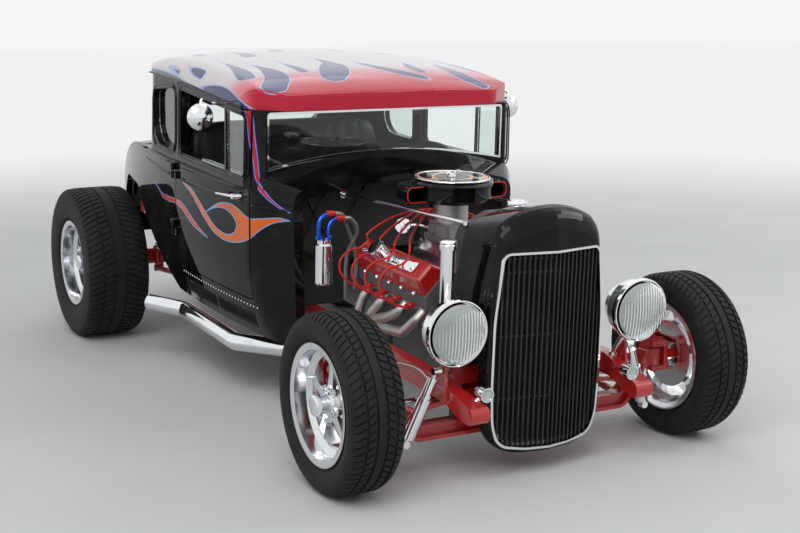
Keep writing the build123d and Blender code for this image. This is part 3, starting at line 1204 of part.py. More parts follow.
def make_lamps():
    """Headlamps and signal lamps on their stalks, tail lamps, and all lenses."""
    lamps, lenses = [], []
    bowl = spun_y(((0, 8), (LAMP_R - 9, 8), (LAMP_R - 9, 0), (LAMP_R - 6, -5), (LAMP_R - 2, -4),
                   (LAMP_R, 2), (LAMP_R, 14), (LAMP_R - 6, 20), (LAMP_R - 14, 60), (LAMP_R - 34, 100),
                   (LAMP_R - 70, 128), (0, 138)), LAMP_X, LAMP_Y, LAMP_Z)
    foot_x, foot_y = RAIL_X + 4, FRONT_Y - 65
    stem = rod((LAMP_X - 12, LAMP_Y + 60, LAMP_Z - 88), (foot_x, foot_y, RAIL_TOP_Z - 4), 10)
    foot = rod((foot_x, foot_y, RAIL_TOP_Z - 12), (foot_x, foot_y, RAIL_TOP_Z + 5), 13)
    lens = spun_y(((0, -12), (48, -9), (84, -3), (LAMP_R - 10, 5), (LAMP_R - 10, 8 - SEAT),
                   (0, 8 - SEAT)), LAMP_X, LAMP_Y, LAMP_Z)
    signal = spun_y(((0, 6), (SIGNAL_R - 4, 6), (SIGNAL_R - 4, 0), (SIGNAL_R, 0), (SIGNAL_R, 26),
                     (SIGNAL_R - 6, 52), (SIGNAL_R - 18, 70), (0, 74)), SIGNAL_X, SIGNAL_Y, SIGNAL_Z)
    post = rod((SIGNAL_X + 4, SIGNAL_Y + 36, SIGNAL_Z - 16), (SIGNAL_X + 27, SIGNAL_Y + 40, SIGNAL_Z - 36), 8)
    signal_lens = spun_y(((0, -4), (SIGNAL_R - 8, -1), (SIGNAL_R - 5, 6 - SEAT), (0, 6 - SEAT)),
                         SIGNAL_X, SIGNAL_Y, SIGNAL_Z)
    tail = spun_y(((0, 0), (34, 0), (42, 16), (42, 30), (36, 30), (36, 22), (0, 22)), 250, TAIL_Y, 462)
    tail_lens = spun_y(((0, 22 + SEAT), (35, 22 + SEAT), (33, 32), (0, 37)), 250, TAIL_Y, 462)
    for piece in (joined(bowl, stem, foot).cut(rail_solid()), joined(signal, post.cut(rail_solid())), tail):
        lamps += both(piece)
    for piece in (lens, signal_lens, tail_lens):
        lenses += both(piece)
    add("lamps", *[sprung(s) for s in lamps])
    add("lamp_lenses", *[sprung(s) for s in lenses])


def make_bay_fittings():
    """Support rods from cowl to grille shell, filter canister and overflow tube."""
    stays = []
    front_y = SHELL_BACK_Y + 22
    for sign in (-1, 1):
        front = (sign * STAY_X, front_y, STAY_FRONT_Z)
        rear = (sign * (STAY_X + 4), FIREWALL_Y - 10, STAY_REAR_Z)
        foot = rod((rear[0], FIREWALL_Y - 14, rear[2]), (rear[0], FIREWALL_Y, rear[2]), 18)
        eye = rod((front[0], front_y, STAY_FRONT_Z - EYE_DROP), (front[0], front_y, STAY_FRONT_Z + STAY_R), 11)
        stays.append(joined(rod(rear, front, STAY_R), foot, eye))
    add("support_rods", *[sprung(s) for s in stays])

    x, y, z = -390, -1884, 729
    can = spun_z(((0, -92), (30, -92), (37, -84), (37, 64), (30, 70), (30, 84), (16, 92), (0, 92)), x, y, z)
    strap = box(x - 12, x + 12, y + 30, FIREWALL_Y, z - 12, z + 12)
    tube_x, tube_y = -RAIL_X + 16, -2716
    tube = joined(rod((tube_x, tube_y, 742), (tube_x, tube_y, 938), 24),
                  rod((tube_x, tube_y, 938), (tube_x, tube_y, 952), 29),
                  rod((tube_x, tube_y, RAIL_TOP_Z), (tube_x, tube_y, 744), 9),
                  rod((tube_x + 2, tube_y, RAIL_TOP_Z), (tube_x + 2, tube_y, RAIL_TOP_Z + 6), 16))
    add("canister_and_overflow", sprung(joined(can, strap)), sprung(tube))


def make_cabin():
    """Floor with firewall and wheel wells, dashboard, steering column and bench seat."""
    inner = round_shoulders(tub_solid(WALL + 1), COWL_SHOULDER_R - WALL)
    t = FLOOR_T
    y_fw = FIREWALL_Y
    floor = inner & box(-700, 700, y_fw, STEP_Y, FLOOR_Z, FLOOR_Z + t)
    firewall = inner & box(-700, 700, y_fw, y_fw + t, FLOOR_Z, 1150)
    riser = inner & box(-700, 700, STEP_Y - t, STEP_Y, FLOOR_Z, REAR_FLOOR_Z + t)
    ahead = inner & box(-700, 700, STEP_Y - t, WELL_FRONT_Y + 6, REAR_FLOOR_Z, REAR_FLOOR_Z + t)
    rear = inner & box(-WELL_X - 6, WELL_X + 6, WELL_FRONT_Y, TAIL_Y - WALL - 1, REAR_FLOOR_Z,
                       REAR_FLOOR_Z + t)
    wells = []
    for sign in (-1, 1):
        x0, x1 = sorted((sign * WELL_X, sign * (WELL_X + 6)))
        wells.append(inner & box(x0, x1, WELL_FRONT_Y, 360, REAR_FLOOR_Z, BELT_Z - 24))
        x0, x1 = sorted((sign * WELL_X, sign * 700))
        wells.append(inner & box(x0, x1, WELL_FRONT_Y, WELL_FRONT_Y + 6, REAR_FLOOR_Z, BELT_Z - 24))
    tunnel = rounded(polygon((-TUNNEL_HALF_W, FLOOR_Z), (TUNNEL_HALF_W, FLOOR_Z),
                             (TUNNEL_HALF_W - 20, TUNNEL_TOP_Z), (20 - TUNNEL_HALF_W, TUNNEL_TOP_Z)),
                     (((TUNNEL_HALF_W - 20, TUNNEL_TOP_Z), 90), ((20 - TUNNEL_HALF_W, TUNNEL_TOP_Z), 90)))
    hole = offset(tunnel, -t)
    cover = front_prism(tunnel, y_fw, TUNNEL_REAR_Y)
    bulkhead = inner & box(-700, 700, BULKHEAD_Y, BULKHEAD_Y + t, REAR_FLOOR_Z, BELT_Z - 16)
    shelf = inner & box(-700, 700, BULKHEAD_Y, CAB_REAR_Y - 60, BELT_Z - 24, BELT_Z - 16)
    w, top = SHAFT_TUNNEL_HALF_W, SHAFT_TUNNEL_TOP_Z
    low_tunnel = rounded(polygon((-w, FLOOR_Z), (w, FLOOR_Z), (w, top), (-w, top)),
                         (((w, top), 30), ((-w, top), 30)))
    low_cover = front_prism(low_tunnel, TUNNEL_REAR_Y - t, STEP_Y)
    low_hole = front_prism(offset(low_tunnel, -t), TUNNEL_REAR_Y - 2 * t, STEP_Y - t)
    pan = joined(floor, firewall, riser, ahead, rear, *wells, cover, low_cover, bulkhead, shelf)
    pan = pan.cut(front_prism(hole, y_fw - 20, TUNNEL_REAR_Y - t))
    pan = pan.cut(box(-TUNNEL_HALF_W + t, TUNNEL_HALF_W - t, y_fw - 20, TUNNEL_REAR_Y - t, FLOOR_Z - 100,
                      FLOOR_Z + t))
    pan = pan.cut(low_hole).cut(box(-w + t, w - t, TUNNEL_REAR_Y - 2 * t, STEP_Y + 1, FLOOR_Z - 1,
                                    FLOOR_Z + t + 1))
    pan = pan.cut(front_prism(offset(low_tunnel, -t), STEP_Y - t - 1, STEP_Y + 1))
    add("floor_pan", sprung(pan))

    dash_face = rounded(polygon((-1640, 912), (-1560, 900), (-1548, 940), (-1580, 1030), (-1640, 1036)),
                        (((-1548, 940), 16), ((-1580, 1030), 20)))
    dash = side_prism(dash_face, -DASH_HALF_W, DASH_HALF_W)
    add("dashboard", sprung(dash))

    sx = 325
    low, high = (sx, y_fw + t + 14, 690), (sx, -1318, 936)
    axis = (Vector(*high) - Vector(*low)).normalized()
    end = tuple(Vector(*high) - axis * 20)
    bore = rod(tuple(Vector(*end) - axis * 90), high, COLUMN_SHAFT_R + RUN)
    drop = box(sx - 14, sx + 14, -1600, -1572, 745, 905)
    add("steering_column", sprung(joined(rod(low, end, 19), drop.cut(dash)).cut(bore)))
    hub_plane = Plane(origin=high, z_dir=axis)
    rim = hub_plane * Torus(184, 12)
    hub = hub_plane * Cylinder(34, 28)
    shaft = rod(tuple(Vector(*end) - axis * 80), high, COLUMN_SHAFT_R)
    spokes = [hub_plane * Rot(0, 0, 120 * i + 90) * Pos(92, 0, 0) * Box(180, 20, 6) for i in range(3)]
    add("steering_wheel", sprung(joined(shaft, rim, hub, *spokes)))

    cushion = side_prism(rounded(polygon((-1210, FLOOR_Z + t), (-757, FLOOR_Z + t), (-757, 668),
                                         (-1210, 700)),
                                 (((-1210, 700), 55), ((-757, 668), 20))), -440, 440)
    back = side_prism(rounded(polygon((-756, FLOOR_Z + t), (-756, REAR_FLOOR_Z + t), (-584, REAR_FLOOR_Z + t),
                                      (-580, 1120), (-662, 1130), (-772, 680)),
                              (((-580, 1120), 36), ((-662, 1130), 40))), -470, 470)
    seat = joined(cushion, back).cut(cover).cut(low_cover)
    add("bench_seat", sprung(seat))


def shifted_to_middle():
    """Move every node so that the origin is on the ground under the middle."""
    boxes = [shape.bounding_box() for shape in NODES.values()]
    shift = -(min(b.min.Y for b in boxes) + max(b.max.Y for b in boxes)) / 2
    for name, shape in NODES.items():
        NODES[name] = Pos(0, shift, 0) * shape
    return shift


def main():
    """Build every sub-part, place it and write its STEP file."""
    for step in (make_wheels, make_knuckles, make_front_suspension, make_rear_axle, make_chassis,
                 make_engine, make_drive, make_grille, make_lamps, make_bay_fittings, make_cabin,
                 make_body):
        step()
    shift = shifted_to_middle()
    print(f"moved along Y by {shift:.3f}")
    os.makedirs("parts", exist_ok=True)
    for name, shape in NODES.items():
        export_step(shape, f"parts/{name}.step")


if __name__ == "__main__":
    main()
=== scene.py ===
"""Hot rod coupe: its finishes, trim and fine pieces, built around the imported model.

The row frame is in metres. What belongs to the sprung body is drawn in the body's own level
coordinates, where y = 0 is the rear axle and the nose points along -y, and Stance turns it
nose down on to its wheels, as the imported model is. Tables and profiles are in millimetres.
"""

from __future__ import annotations

import json
import logging
from dataclasses import dataclass
from enum import Enum
from functools import lru_cache
from math import cos, pi, radians, sin

import bmesh
import bpy
import numpy as np
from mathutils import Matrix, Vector

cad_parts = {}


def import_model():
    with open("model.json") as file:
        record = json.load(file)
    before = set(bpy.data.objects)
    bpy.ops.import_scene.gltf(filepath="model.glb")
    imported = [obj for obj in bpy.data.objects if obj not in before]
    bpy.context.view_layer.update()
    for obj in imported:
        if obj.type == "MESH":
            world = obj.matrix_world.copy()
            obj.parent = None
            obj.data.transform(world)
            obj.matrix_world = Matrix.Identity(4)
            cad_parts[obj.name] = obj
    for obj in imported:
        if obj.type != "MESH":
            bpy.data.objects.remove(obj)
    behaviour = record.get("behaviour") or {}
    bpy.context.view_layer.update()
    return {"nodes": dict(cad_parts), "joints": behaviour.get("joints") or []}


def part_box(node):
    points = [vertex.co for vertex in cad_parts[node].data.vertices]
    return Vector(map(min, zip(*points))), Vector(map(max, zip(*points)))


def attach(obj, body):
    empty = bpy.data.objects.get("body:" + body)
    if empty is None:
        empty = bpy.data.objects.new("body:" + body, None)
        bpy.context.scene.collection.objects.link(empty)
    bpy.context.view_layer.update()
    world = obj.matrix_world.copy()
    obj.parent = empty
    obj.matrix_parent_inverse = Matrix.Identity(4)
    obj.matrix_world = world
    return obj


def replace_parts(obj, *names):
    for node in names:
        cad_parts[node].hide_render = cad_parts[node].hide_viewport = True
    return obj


LOG = logging.getLogger("hot_rod")
Array = np.ndarray
Rows = tuple[tuple[float, ...], ...]
Color = tuple[float, float, float, float]
SIDES = {"right": -1.0, "left": 1.0}


def mm(*sizes: object) -> Array:
    """Millimetres as an array of metres."""
    return np.array(sizes, float) / 1000


@dataclass(frozen=True)
class Stance:
    """Where the level body stands: turned nose down about the rear axle.

    Args:
        axle_y: The rear axle's y in the row frame.
        axle_z: The rear axle's height.
        rake: How far the body is turned nose down, in radians.
    """

    axle_y: float
    axle_z: float
    rake: float = radians(3.0)

    def body(self, points: Array, sign: float = 1.0) -> Array:
        """Turn level body points, the last axis x y z, into the row frame.

        y becomes y cos - (z - h) sin and z becomes h + y sin + (z - h) cos.

        Args:
            points: Points of the level body.
            sign: What x is multiplied by; -1 mirrors them.

        Returns:
            The same points in the row frame.
        """
        c, s = cos(self.rake), sin(self.rake)
        x, y, z = np.moveaxis(np.asarray(points, float), -1, 0)
        up = z - self.axle_z
        return np.stack([sign * x, self.axle_y + y * c - up * s, self.axle_z + y * s + up * c], -1)

    def way(self, x: float, y: float, z: float) -> Array:
        """A direction of the level body in the row frame."""
        return self.body((x, y, z)) - self.body((0.0, 0.0, 0.0))


def unit(vectors: Array) -> Array:
    """Vectors scaled to length one along the last axis."""
    return vectors / np.maximum(np.linalg.norm(vectors, axis=-1, keepdims=True), 1e-12)


def turns(count: int) -> Array:
    """Angles evenly round a full turn, the last left out."""
    return np.linspace(0, 2 * pi, count, endpoint=False)


def smooth_path(controls: Array, count: int, closed: bool = False) -> Array:
    """A smooth line through control points.

    Each stretch is the cubic through its two controls whose slopes are half the chord
    between their neighbours.

    Args:
        controls: The points to pass, one row each.
        count: How many points to return.
        closed: Whether the line closes on itself.

    Returns:
        Points along the line, evenly spaced in the controls' own count.
    """
    p = np.asarray(controls, float)
    n = len(p)
    slopes = (np.roll(p, -1, 0) - np.roll(p, 1, 0)) / 2 if closed else np.gradient(p, axis=0)
    t = np.linspace(0, n if closed else n - 1, count, endpoint=not closed)
    i = np.minimum(t.astype(int), n - 1 if closed else n - 2)
    j = (i + 1) % n
    u = (t - i)[:, None]
    a, b = 2 * u**3 - 3 * u**2 + 1, u**3 - 2 * u**2 + u
    return a * p[i] + b * slopes[i] + (1 - a) * p[j] + (u**3 - u**2) * slopes[j]


def along(path: Array, closed: bool = False) -> Array:
    """Unit tangents of a line of points, by central differences."""
    return unit(np.roll(path, -1, 0) - np.roll(path, 1, 0) if closed else np.gradient(path, axis=0))


def grown(outline: Array, by: float) -> Array:
    """A closed flat outline moved outwards along its own normals.

    Args:
        outline: Its corners, (n, 2).
        by: How far; a negative distance shrinks it.

    Returns:
        The new corners.
    """
    t = along(outline, closed=True)
    after = np.roll(outline, -1, 0)
    area = (outline[:, 0] * after[:, 1] - after[:, 0] * outline[:, 1]).sum()
    return outline + np.stack([t[:, 1], -t[:, 0]], -1) * by * np.sign(area)


def rounded(corners: Array, radius: float, count: int = 7) -> Array:
    """A polygon whose corners are turned into arcs of about a radius.

    Each corner p becomes the curve (1 - t)^2 a + 2 t (1 - t) p + t^2 b between the points a
    and b one radius before and after it.

    Args:
        corners: The polygon's corners, (n, 2).
        radius: How far from the corner the arc begins and ends.
        count: How many points each arc takes.

    Returns:
        The outline, (n * count, 2).
    """
    p = np.asarray(corners, float)
    back, ahead = unit(np.roll(p, 1, 0) - p), unit(np.roll(p, -1, 0) - p)
    t = np.linspace(0, 1, count)[None, :, None]
    a, b = (p + radius * back)[:, None], (p + radius * ahead)[:, None]
    return ((1 - t)**2 * a + 2 * t * (1 - t) * p[:, None] + t**2 * b).reshape(-1, p.shape[1])


def stroke_distance(points: Array, stroke: Array) -> Array:
    """Distance of points from a round stroke whose radius changes evenly along its path.

    For each stretch it is the distance to the nearest point of the stretch, less the radius
    there; the least over the stretches counts.

    Args:
        points: Points, (n, k).
        stroke: The stroke's middle line and its radius there, (m, k + 1).

    Returns:
        One distance for each point, negative inside the stroke.
    """
    path, radii = stroke[:, :-1], np.maximum(stroke[:, -1], 0.0)
    a, d = path[:-1], np.diff(path, axis=0)
    length = np.maximum((d * d).sum(1), 1e-12)
    t = np.clip(((points[:, None] - a) * d).sum(-1) / length, 0, 1)
    gap = np.linalg.norm(points[:, None] - (a + t[..., None] * d), axis=-1)
    return (gap - (radii[:-1] + t * np.diff(radii))).min(1)


def outline_distance(points: Array, outline: Array) -> Array:
    """Distance of flat points from a closed outline.

    A point is inside if a ray from it along the first axis crosses the outline an odd
    number of times.

    Args:
        points: Points, (n, 2).
        outline: The outline's corners, (m, 2).

    Returns:
        One distance for each point, negative inside.
    """
    gap = stroke_distance(points, np.pad(np.concatenate([outline, outline[:1]]), ((0, 0), (0, 1))))
    (ax, ay), (bx, by) = outline.T, np.roll(outline, -1, 0).T
    x, y = points[:, :1], points[:, 1:]
    rise = np.where(by == ay, 1e-12, by - ay)
    crossed = ((ay > y) != (by > y)) & (x < ax + (y - ay) * (bx - ax) / rise)
    return np.where(crossed.sum(1) % 2 == 1, -gap, gap)


@dataclass(frozen=True)
class BodySide:
    """The body's sides, as half widths at a level y or height."""

    half: float = 0.630
    arc_radius: float = 5.550
    arc_y: float = -1.030
    cowl_half: float = 0.502
    cowl_y: float = -1.820
    cowl_slope: float = 0.588
    soft: float = 0.004
    cab_half: float = 0.616
    cab_bow: float = 0.006
    cab_lean: float = 0.006
    cab_middle: tuple[float, float] = (-1.08, 0.985)
    cab_size: tuple[float, float] = (0.53, 0.375)
    tuck_top: float = 0.720
    tuck_height: float = 0.340
    tuck_depth: float = 0.062
    drip_line: Rows = ((-1800, 1289), (-1640, 1291), (-1000, 1333), (-200, 1338))

    def lower(self, y: Array) -> Array:
        """Half width below the belt: a long arc, narrowing along the cowl.

        The cowl's line falls by its slope for each unit forward, and the two meet in the
        soft minimum -s log(exp(-arc / s) + exp(-cowl / s)).

        Args:
            y: Level y.

        Returns:
            The half widths.
        """
        arc = self.half - self.arc_radius + np.sqrt(self.arc_radius**2 - (y - self.arc_y)**2)
        cowl = self.cowl_half + (y - self.cowl_y) * self.cowl_slope
        return -self.soft * np.logaddexp(-arc / self.soft, -cowl / self.soft)

    def cab(self, y: Array, z: Array) -> Array:
        """Half width of the upper cab, which bows along its length and leans in with height."""
        (y0, z0), (length, height) = self.cab_middle, self.cab_size
        return self.cab_half - self.cab_bow * ((y - y0) / length)**2 - self.cab_lean * (z - z0) / height

    def tuck(self, z: Array) -> Array:
        """How far the lowest part of the side draws in at a height: a square law."""
        return np.clip((self.tuck_top - z) / self.tuck_height, 0, 1)**2 * self.tuck_depth

    def drip(self, y: Array) -> Array:
        """The height of the roof's lower edge."""
        return np.interp(y, *mm(*self.drip_line).T)


SIDE = BodySide()


class Piece:
    """A mesh put together from grids of points."""

    def __init__(self, name: str) -> None:
        """Start with no points.

        Args:
            name: The object's name.
        """
        self.name = name
        self.points: list[Array] = []
        self.faces: list[Array] = []
        self.finish_of: list[Array] = []
        self.values: dict[str, list[Array]] = {}
        self.size = 0

    def grid(self, points: Array, round_u: bool = False, round_v: bool = False, flip: bool = False,
             finish: int = 0, near: Array | None = None, **values: Array) -> None:
        """Add a grid of quads.

        Args:
            points: Grid points, (nu, nv, 3).
            round_u: Whether the first direction closes on itself.
            round_v: Whether the second does.
            flip: Whether to turn the faces over.
            finish: The material's index in the piece.
            near: Which points, (nu, nv), keep the quads that touch them; None keeps all.
            values: One number for each point, (nu, nv), kept as a named attribute.
        """
        nu, nv = points.shape[:2]
        i = np.arange(nu if round_u else nu - 1)[:, None]
        j = np.arange(nv if round_v else nv - 1)[None, :]
        i2, j2 = (i + 1) % nu, (j + 1) % nv
        quads = np.stack(np.broadcast_arrays(i * nv + j, i2 * nv + j, i2 * nv + j2, i * nv + j2), -1)
        quads = quads.reshape(-1, 4)
        if near is not None:
            quads = quads[near.ravel()[quads].any(1)]
        if flip:
            quads = quads[:, ::-1]
        self.points.append(points.reshape(-1, 3))
        self.faces.append(quads + self.size)
        self.finish_of.append(np.full(len(quads), finish))
        for key, value in values.items():
            self.values.setdefault(key, []).append(np.asarray(value, float).ravel())
        self.size += nu * nv

    def turning(self, profile: Array, count: int, origin: Array, axis: Array, phase: float = 0.0,
                finish: int = 0) -> None:
        """Add a profile turned about an axis, listed so that its outside is seen.

        It runs from the back of the piece to its front, and ends on the axis where it is
        closed. At angle a the axis's own frame has (radius cos a, radius sin a, along).

        Args:
            profile: Points of (along, radius), (m, 2).
            count: How many copies go round.
            origin: Where along is zero.
            axis: Where along points.
            phase: The angle of the first copy, in radians.
            finish: The material's index in the piece.
        """
        z = unit(np.asarray(axis, float))
        x = unit(np.cross((0.0, 1.0, 0.0) if abs(z[2]) > 0.99 else (0.0, 0.0, 1.0), z))
        a = phase + turns(count)[:, None]
        far, radius = np.asarray(profile, float).T
        local = np.stack([radius * np.cos(a), radius * np.sin(a), far + 0 * a], -1)
        self.grid(origin + local @ np.stack([x, np.cross(z, x), z]), round_u=True, finish=finish)

    def bar(self, path: Array, radius: float | Array, sides: int = 10, up: Array = (0, 0, 1),
            closed: bool = False) -> None:
        """Add a round bar along a path, its ends drawn in to points on the axis.

        Its section lies across the tangent t, along t x up and the up that is square to t.

        Args:
            path: Points along its middle, (n, 3).
            radius: One radius, or one for each point.
            sides: How many sides the section has.
            up: A direction that is nowhere along the path.
            closed: Whether the path closes on itself.
        """
        t = along(path, closed)
        across = unit(np.cross(t, np.broadcast_to(np.asarray(up, float), t.shape)))
        top = np.cross(across, t)
        r = np.broadcast_to(np.asarray(radius, float), (len(path),))[:, None, None]
        a = turns(sides)[None, :, None]
        body = path[:, None] + r * np.cos(a) * across[:, None] + r * np.sin(a) * top[:, None]
        if not closed:
            ends = [np.broadcast_to(path[k], (1, sides, 3)) for k in (0, -1)]
            body = np.concatenate([ends[0], body, ends[1]])
        self.grid(body, round_u=closed, round_v=True, flip=True)

    def build(self, slot: str, *finishes: Finish, body: str = "chassis", sharp: float = 35.0,
              lay: tuple[bpy.types.Object, str, float] | None = None) -> bpy.types.Object:
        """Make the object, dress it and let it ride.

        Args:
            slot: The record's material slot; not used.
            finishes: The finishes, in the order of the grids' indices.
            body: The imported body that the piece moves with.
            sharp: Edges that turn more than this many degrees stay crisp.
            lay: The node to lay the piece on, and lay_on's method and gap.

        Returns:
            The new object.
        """
        mesh = bpy.data.meshes.new(self.name)
        mesh.from_pydata(np.concatenate(self.points).tolist(), [], np.concatenate(self.faces).tolist())
        mesh.polygons.foreach_set("material_index", np.concatenate(self.finish_of).astype(np.int32))
        for key, parts in self.values.items():
            attribute = mesh.attributes.new(key, "FLOAT", "POINT")
            attribute.data.foreach_set("value", np.concatenate(parts).astype(np.float32))
        for finish in finishes:
            mesh.materials.append(material(finish))
        merge_close(mesh)
        mesh.validate()
        thing = bpy.data.objects.new(self.name, mesh)
        bpy.context.scene.collection.objects.link(thing)
        if lay:
            lay_on(thing, *lay)
            mesh = thing.data
        mesh.shade_smooth()
        mesh.set_sharp_from_angle(angle=radians(sharp))
        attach(thing, body)
        LOG.info("%s: %d faces on %s", self.name, len(mesh.polygons), body)
        return thing


MERGE_DISTANCE = 1e-5
THIN_EDGE = 1e-6
LAY_REACH = 0.08
UNMOVED = 1e-7


def merge_close(mesh: bpy.types.Mesh) -> None:
    """Merge points of a mesh that lie within a hundredth of a millimetre.

    Args:
        mesh: The mesh, changed in place.
    """
    work = bmesh.new()
    work.from_mesh(mesh)
    bmesh.ops.remove_doubles(work, verts=work.verts, dist=MERGE_DISTANCE)
    bmesh.ops.dissolve_degenerate(work, edges=work.edges, dist=THIN_EDGE)
    work.to_mesh(mesh)
    work.free()


def lay_on(thing: bpy.types.Object, node: bpy.types.Object, method: str, gap: float) -> None:
    """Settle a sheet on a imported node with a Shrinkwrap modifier, and apply it.

    Points that a projection leaves where they were have missed the node and are deleted.

    Args:
        thing: The sheet, whose points are near the node.
        node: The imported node, which isn't changed.
        method: PROJECT, along x, or NEAREST_SURFACEPOINT.
        gap: How far above the surface the sheet lies.
    """
    before = np.empty(len(thing.data.vertices) * 3)
    thing.data.vertices.foreach_get("co", before)
    wrap = thing.modifiers.new("lay", "SHRINKWRAP")
    wrap.target = node
    wrap.wrap_method = method
    wrap.wrap_mode = "ABOVE_SURFACE"
    wrap.offset = gap
    if method == "PROJECT":
        wrap.use_project_x = True
        wrap.use_negative_direction = True
        wrap.use_positive_direction = True
        wrap.project_limit = LAY_REACH
    settled = thing.evaluated_get(bpy.context.evaluated_depsgraph_get())
    mesh = bpy.data.meshes.new_from_object(settled)
    thing.modifiers.clear()
    old, thing.data = thing.data, mesh
    mesh.name = thing.name
    bpy.data.meshes.remove(old)
    after = np.empty_like(before)
    mesh.vertices.foreach_get("co", after)
    missed = np.abs(after - before).reshape(-1, 3).max(1) < UNMOVED
    if method == "PROJECT" and missed.any():
        work = bmesh.new()
        work.from_mesh(mesh)
        work.verts.ensure_lookup_table()
        bmesh.ops.delete(work, geom=[work.verts[i] for i in np.flatnonzero(missed)], context="VERTS")
        work.to_mesh(mesh)
        work.free()


class Value:
    """A shader number that takes part in Python arithmetic.

    It holds the tree whose nodes carry the sums and the output socket that gives the number.
    """

    def __init__(self, nodes: Nodes, socket: bpy.types.NodeSocket) -> None:
        """Wrap an output socket of a tree."""
        self.nodes = nodes
        self.socket = socket

    def math(self, operation: str, other: Value | float) -> Value:
        """The result of a Math node on this number and another."""
        return self.nodes.node("ShaderNodeMath", {0: self, 1: other}, operation=operation)

    def __add__(self, other: Value | float) -> Value:
        """The sum."""
        return self.math("ADD", other)

    def __mul__(self, other: Value | float) -> Value:
        """The product."""
        return self.math("MULTIPLY", other)

    __radd__ = __add__
    __rmul__ = __mul__

    def __sub__(self, other: Value | float) -> Value:
        """The difference."""
        return self.math("SUBTRACT", other)

    def __rsub__(self, other: float) -> Value:
        """A plain number less this one."""
        return self * -1.0 + other

    def over(self, low: float, high: float) -> Value:
        """Rise smoothly from 0 at low to 1 at high."""
        inputs = {0: self, 1: low, 2: high}
        return self.nodes.node("ShaderNodeMapRange", inputs, interpolation_type="SMOOTHSTEP")


class Nodes:
    """A node tree, emptied and filled again."""

    def __init__(self, tree: bpy.types.NodeTree, output: str) -> None:
        """Empty the tree and give it a new output node.

        Args:
            tree: The tree.
            output: The type name of its output node.
        """
        self.tree = tree
        tree.nodes.clear()
        self.output = tree.nodes.new(output)

    def feed(self, socket: bpy.types.NodeSocket, value: object) -> None:
        """Link or set one input socket.

        Args:
            socket: The input socket.
            value: A Value or an output socket to link, or a plain value.
        """
        if isinstance(value, Value):
            value = value.socket
        if isinstance(value, bpy.types.NodeSocket):
            self.tree.links.new(value, socket)
        else:
            socket.default_value = value

    def node(self, kind: str, inputs: dict[object, object], out: int | str = 0,
             **settings: object) -> Value:
        """Make a node.

        Args:
            kind: The node's type name.
            inputs: Values or links by socket name or number.
            out: Which output to return.
            settings: Its own settings, set before its sockets.

        Returns:
            The chosen output, ready for arithmetic.
        """
        made = self.tree.nodes.new(kind)
        for key, value in settings.items():
            setattr(made, key, value)
        for key, value in inputs.items():
            self.feed(made.inputs[key], value)
        return Value(self, made.outputs[out])

    def seen(self) -> Value:
        """1 for rays that the camera, a mirror or glass sends, else 0.

        Returns:
            The number.
        """
        ray = self.node("ShaderNodeLightPath", {}, "Is Camera Ray")
        for kind in ("Is Glossy Ray", "Is Transmission Ray"):
            ray = ray.math("MAXIMUM", self.node("ShaderNodeLightPath", {}, kind))
        return ray


FILM_PEEL = (0.00004, 260.0, 1.0)
FILM_UNDER = 0.1
ROOF_CLOUD = 30.0
ROOF_ROUGH = (0.05, 0.28)
ROOF_COAT = (0.02, 1.33)


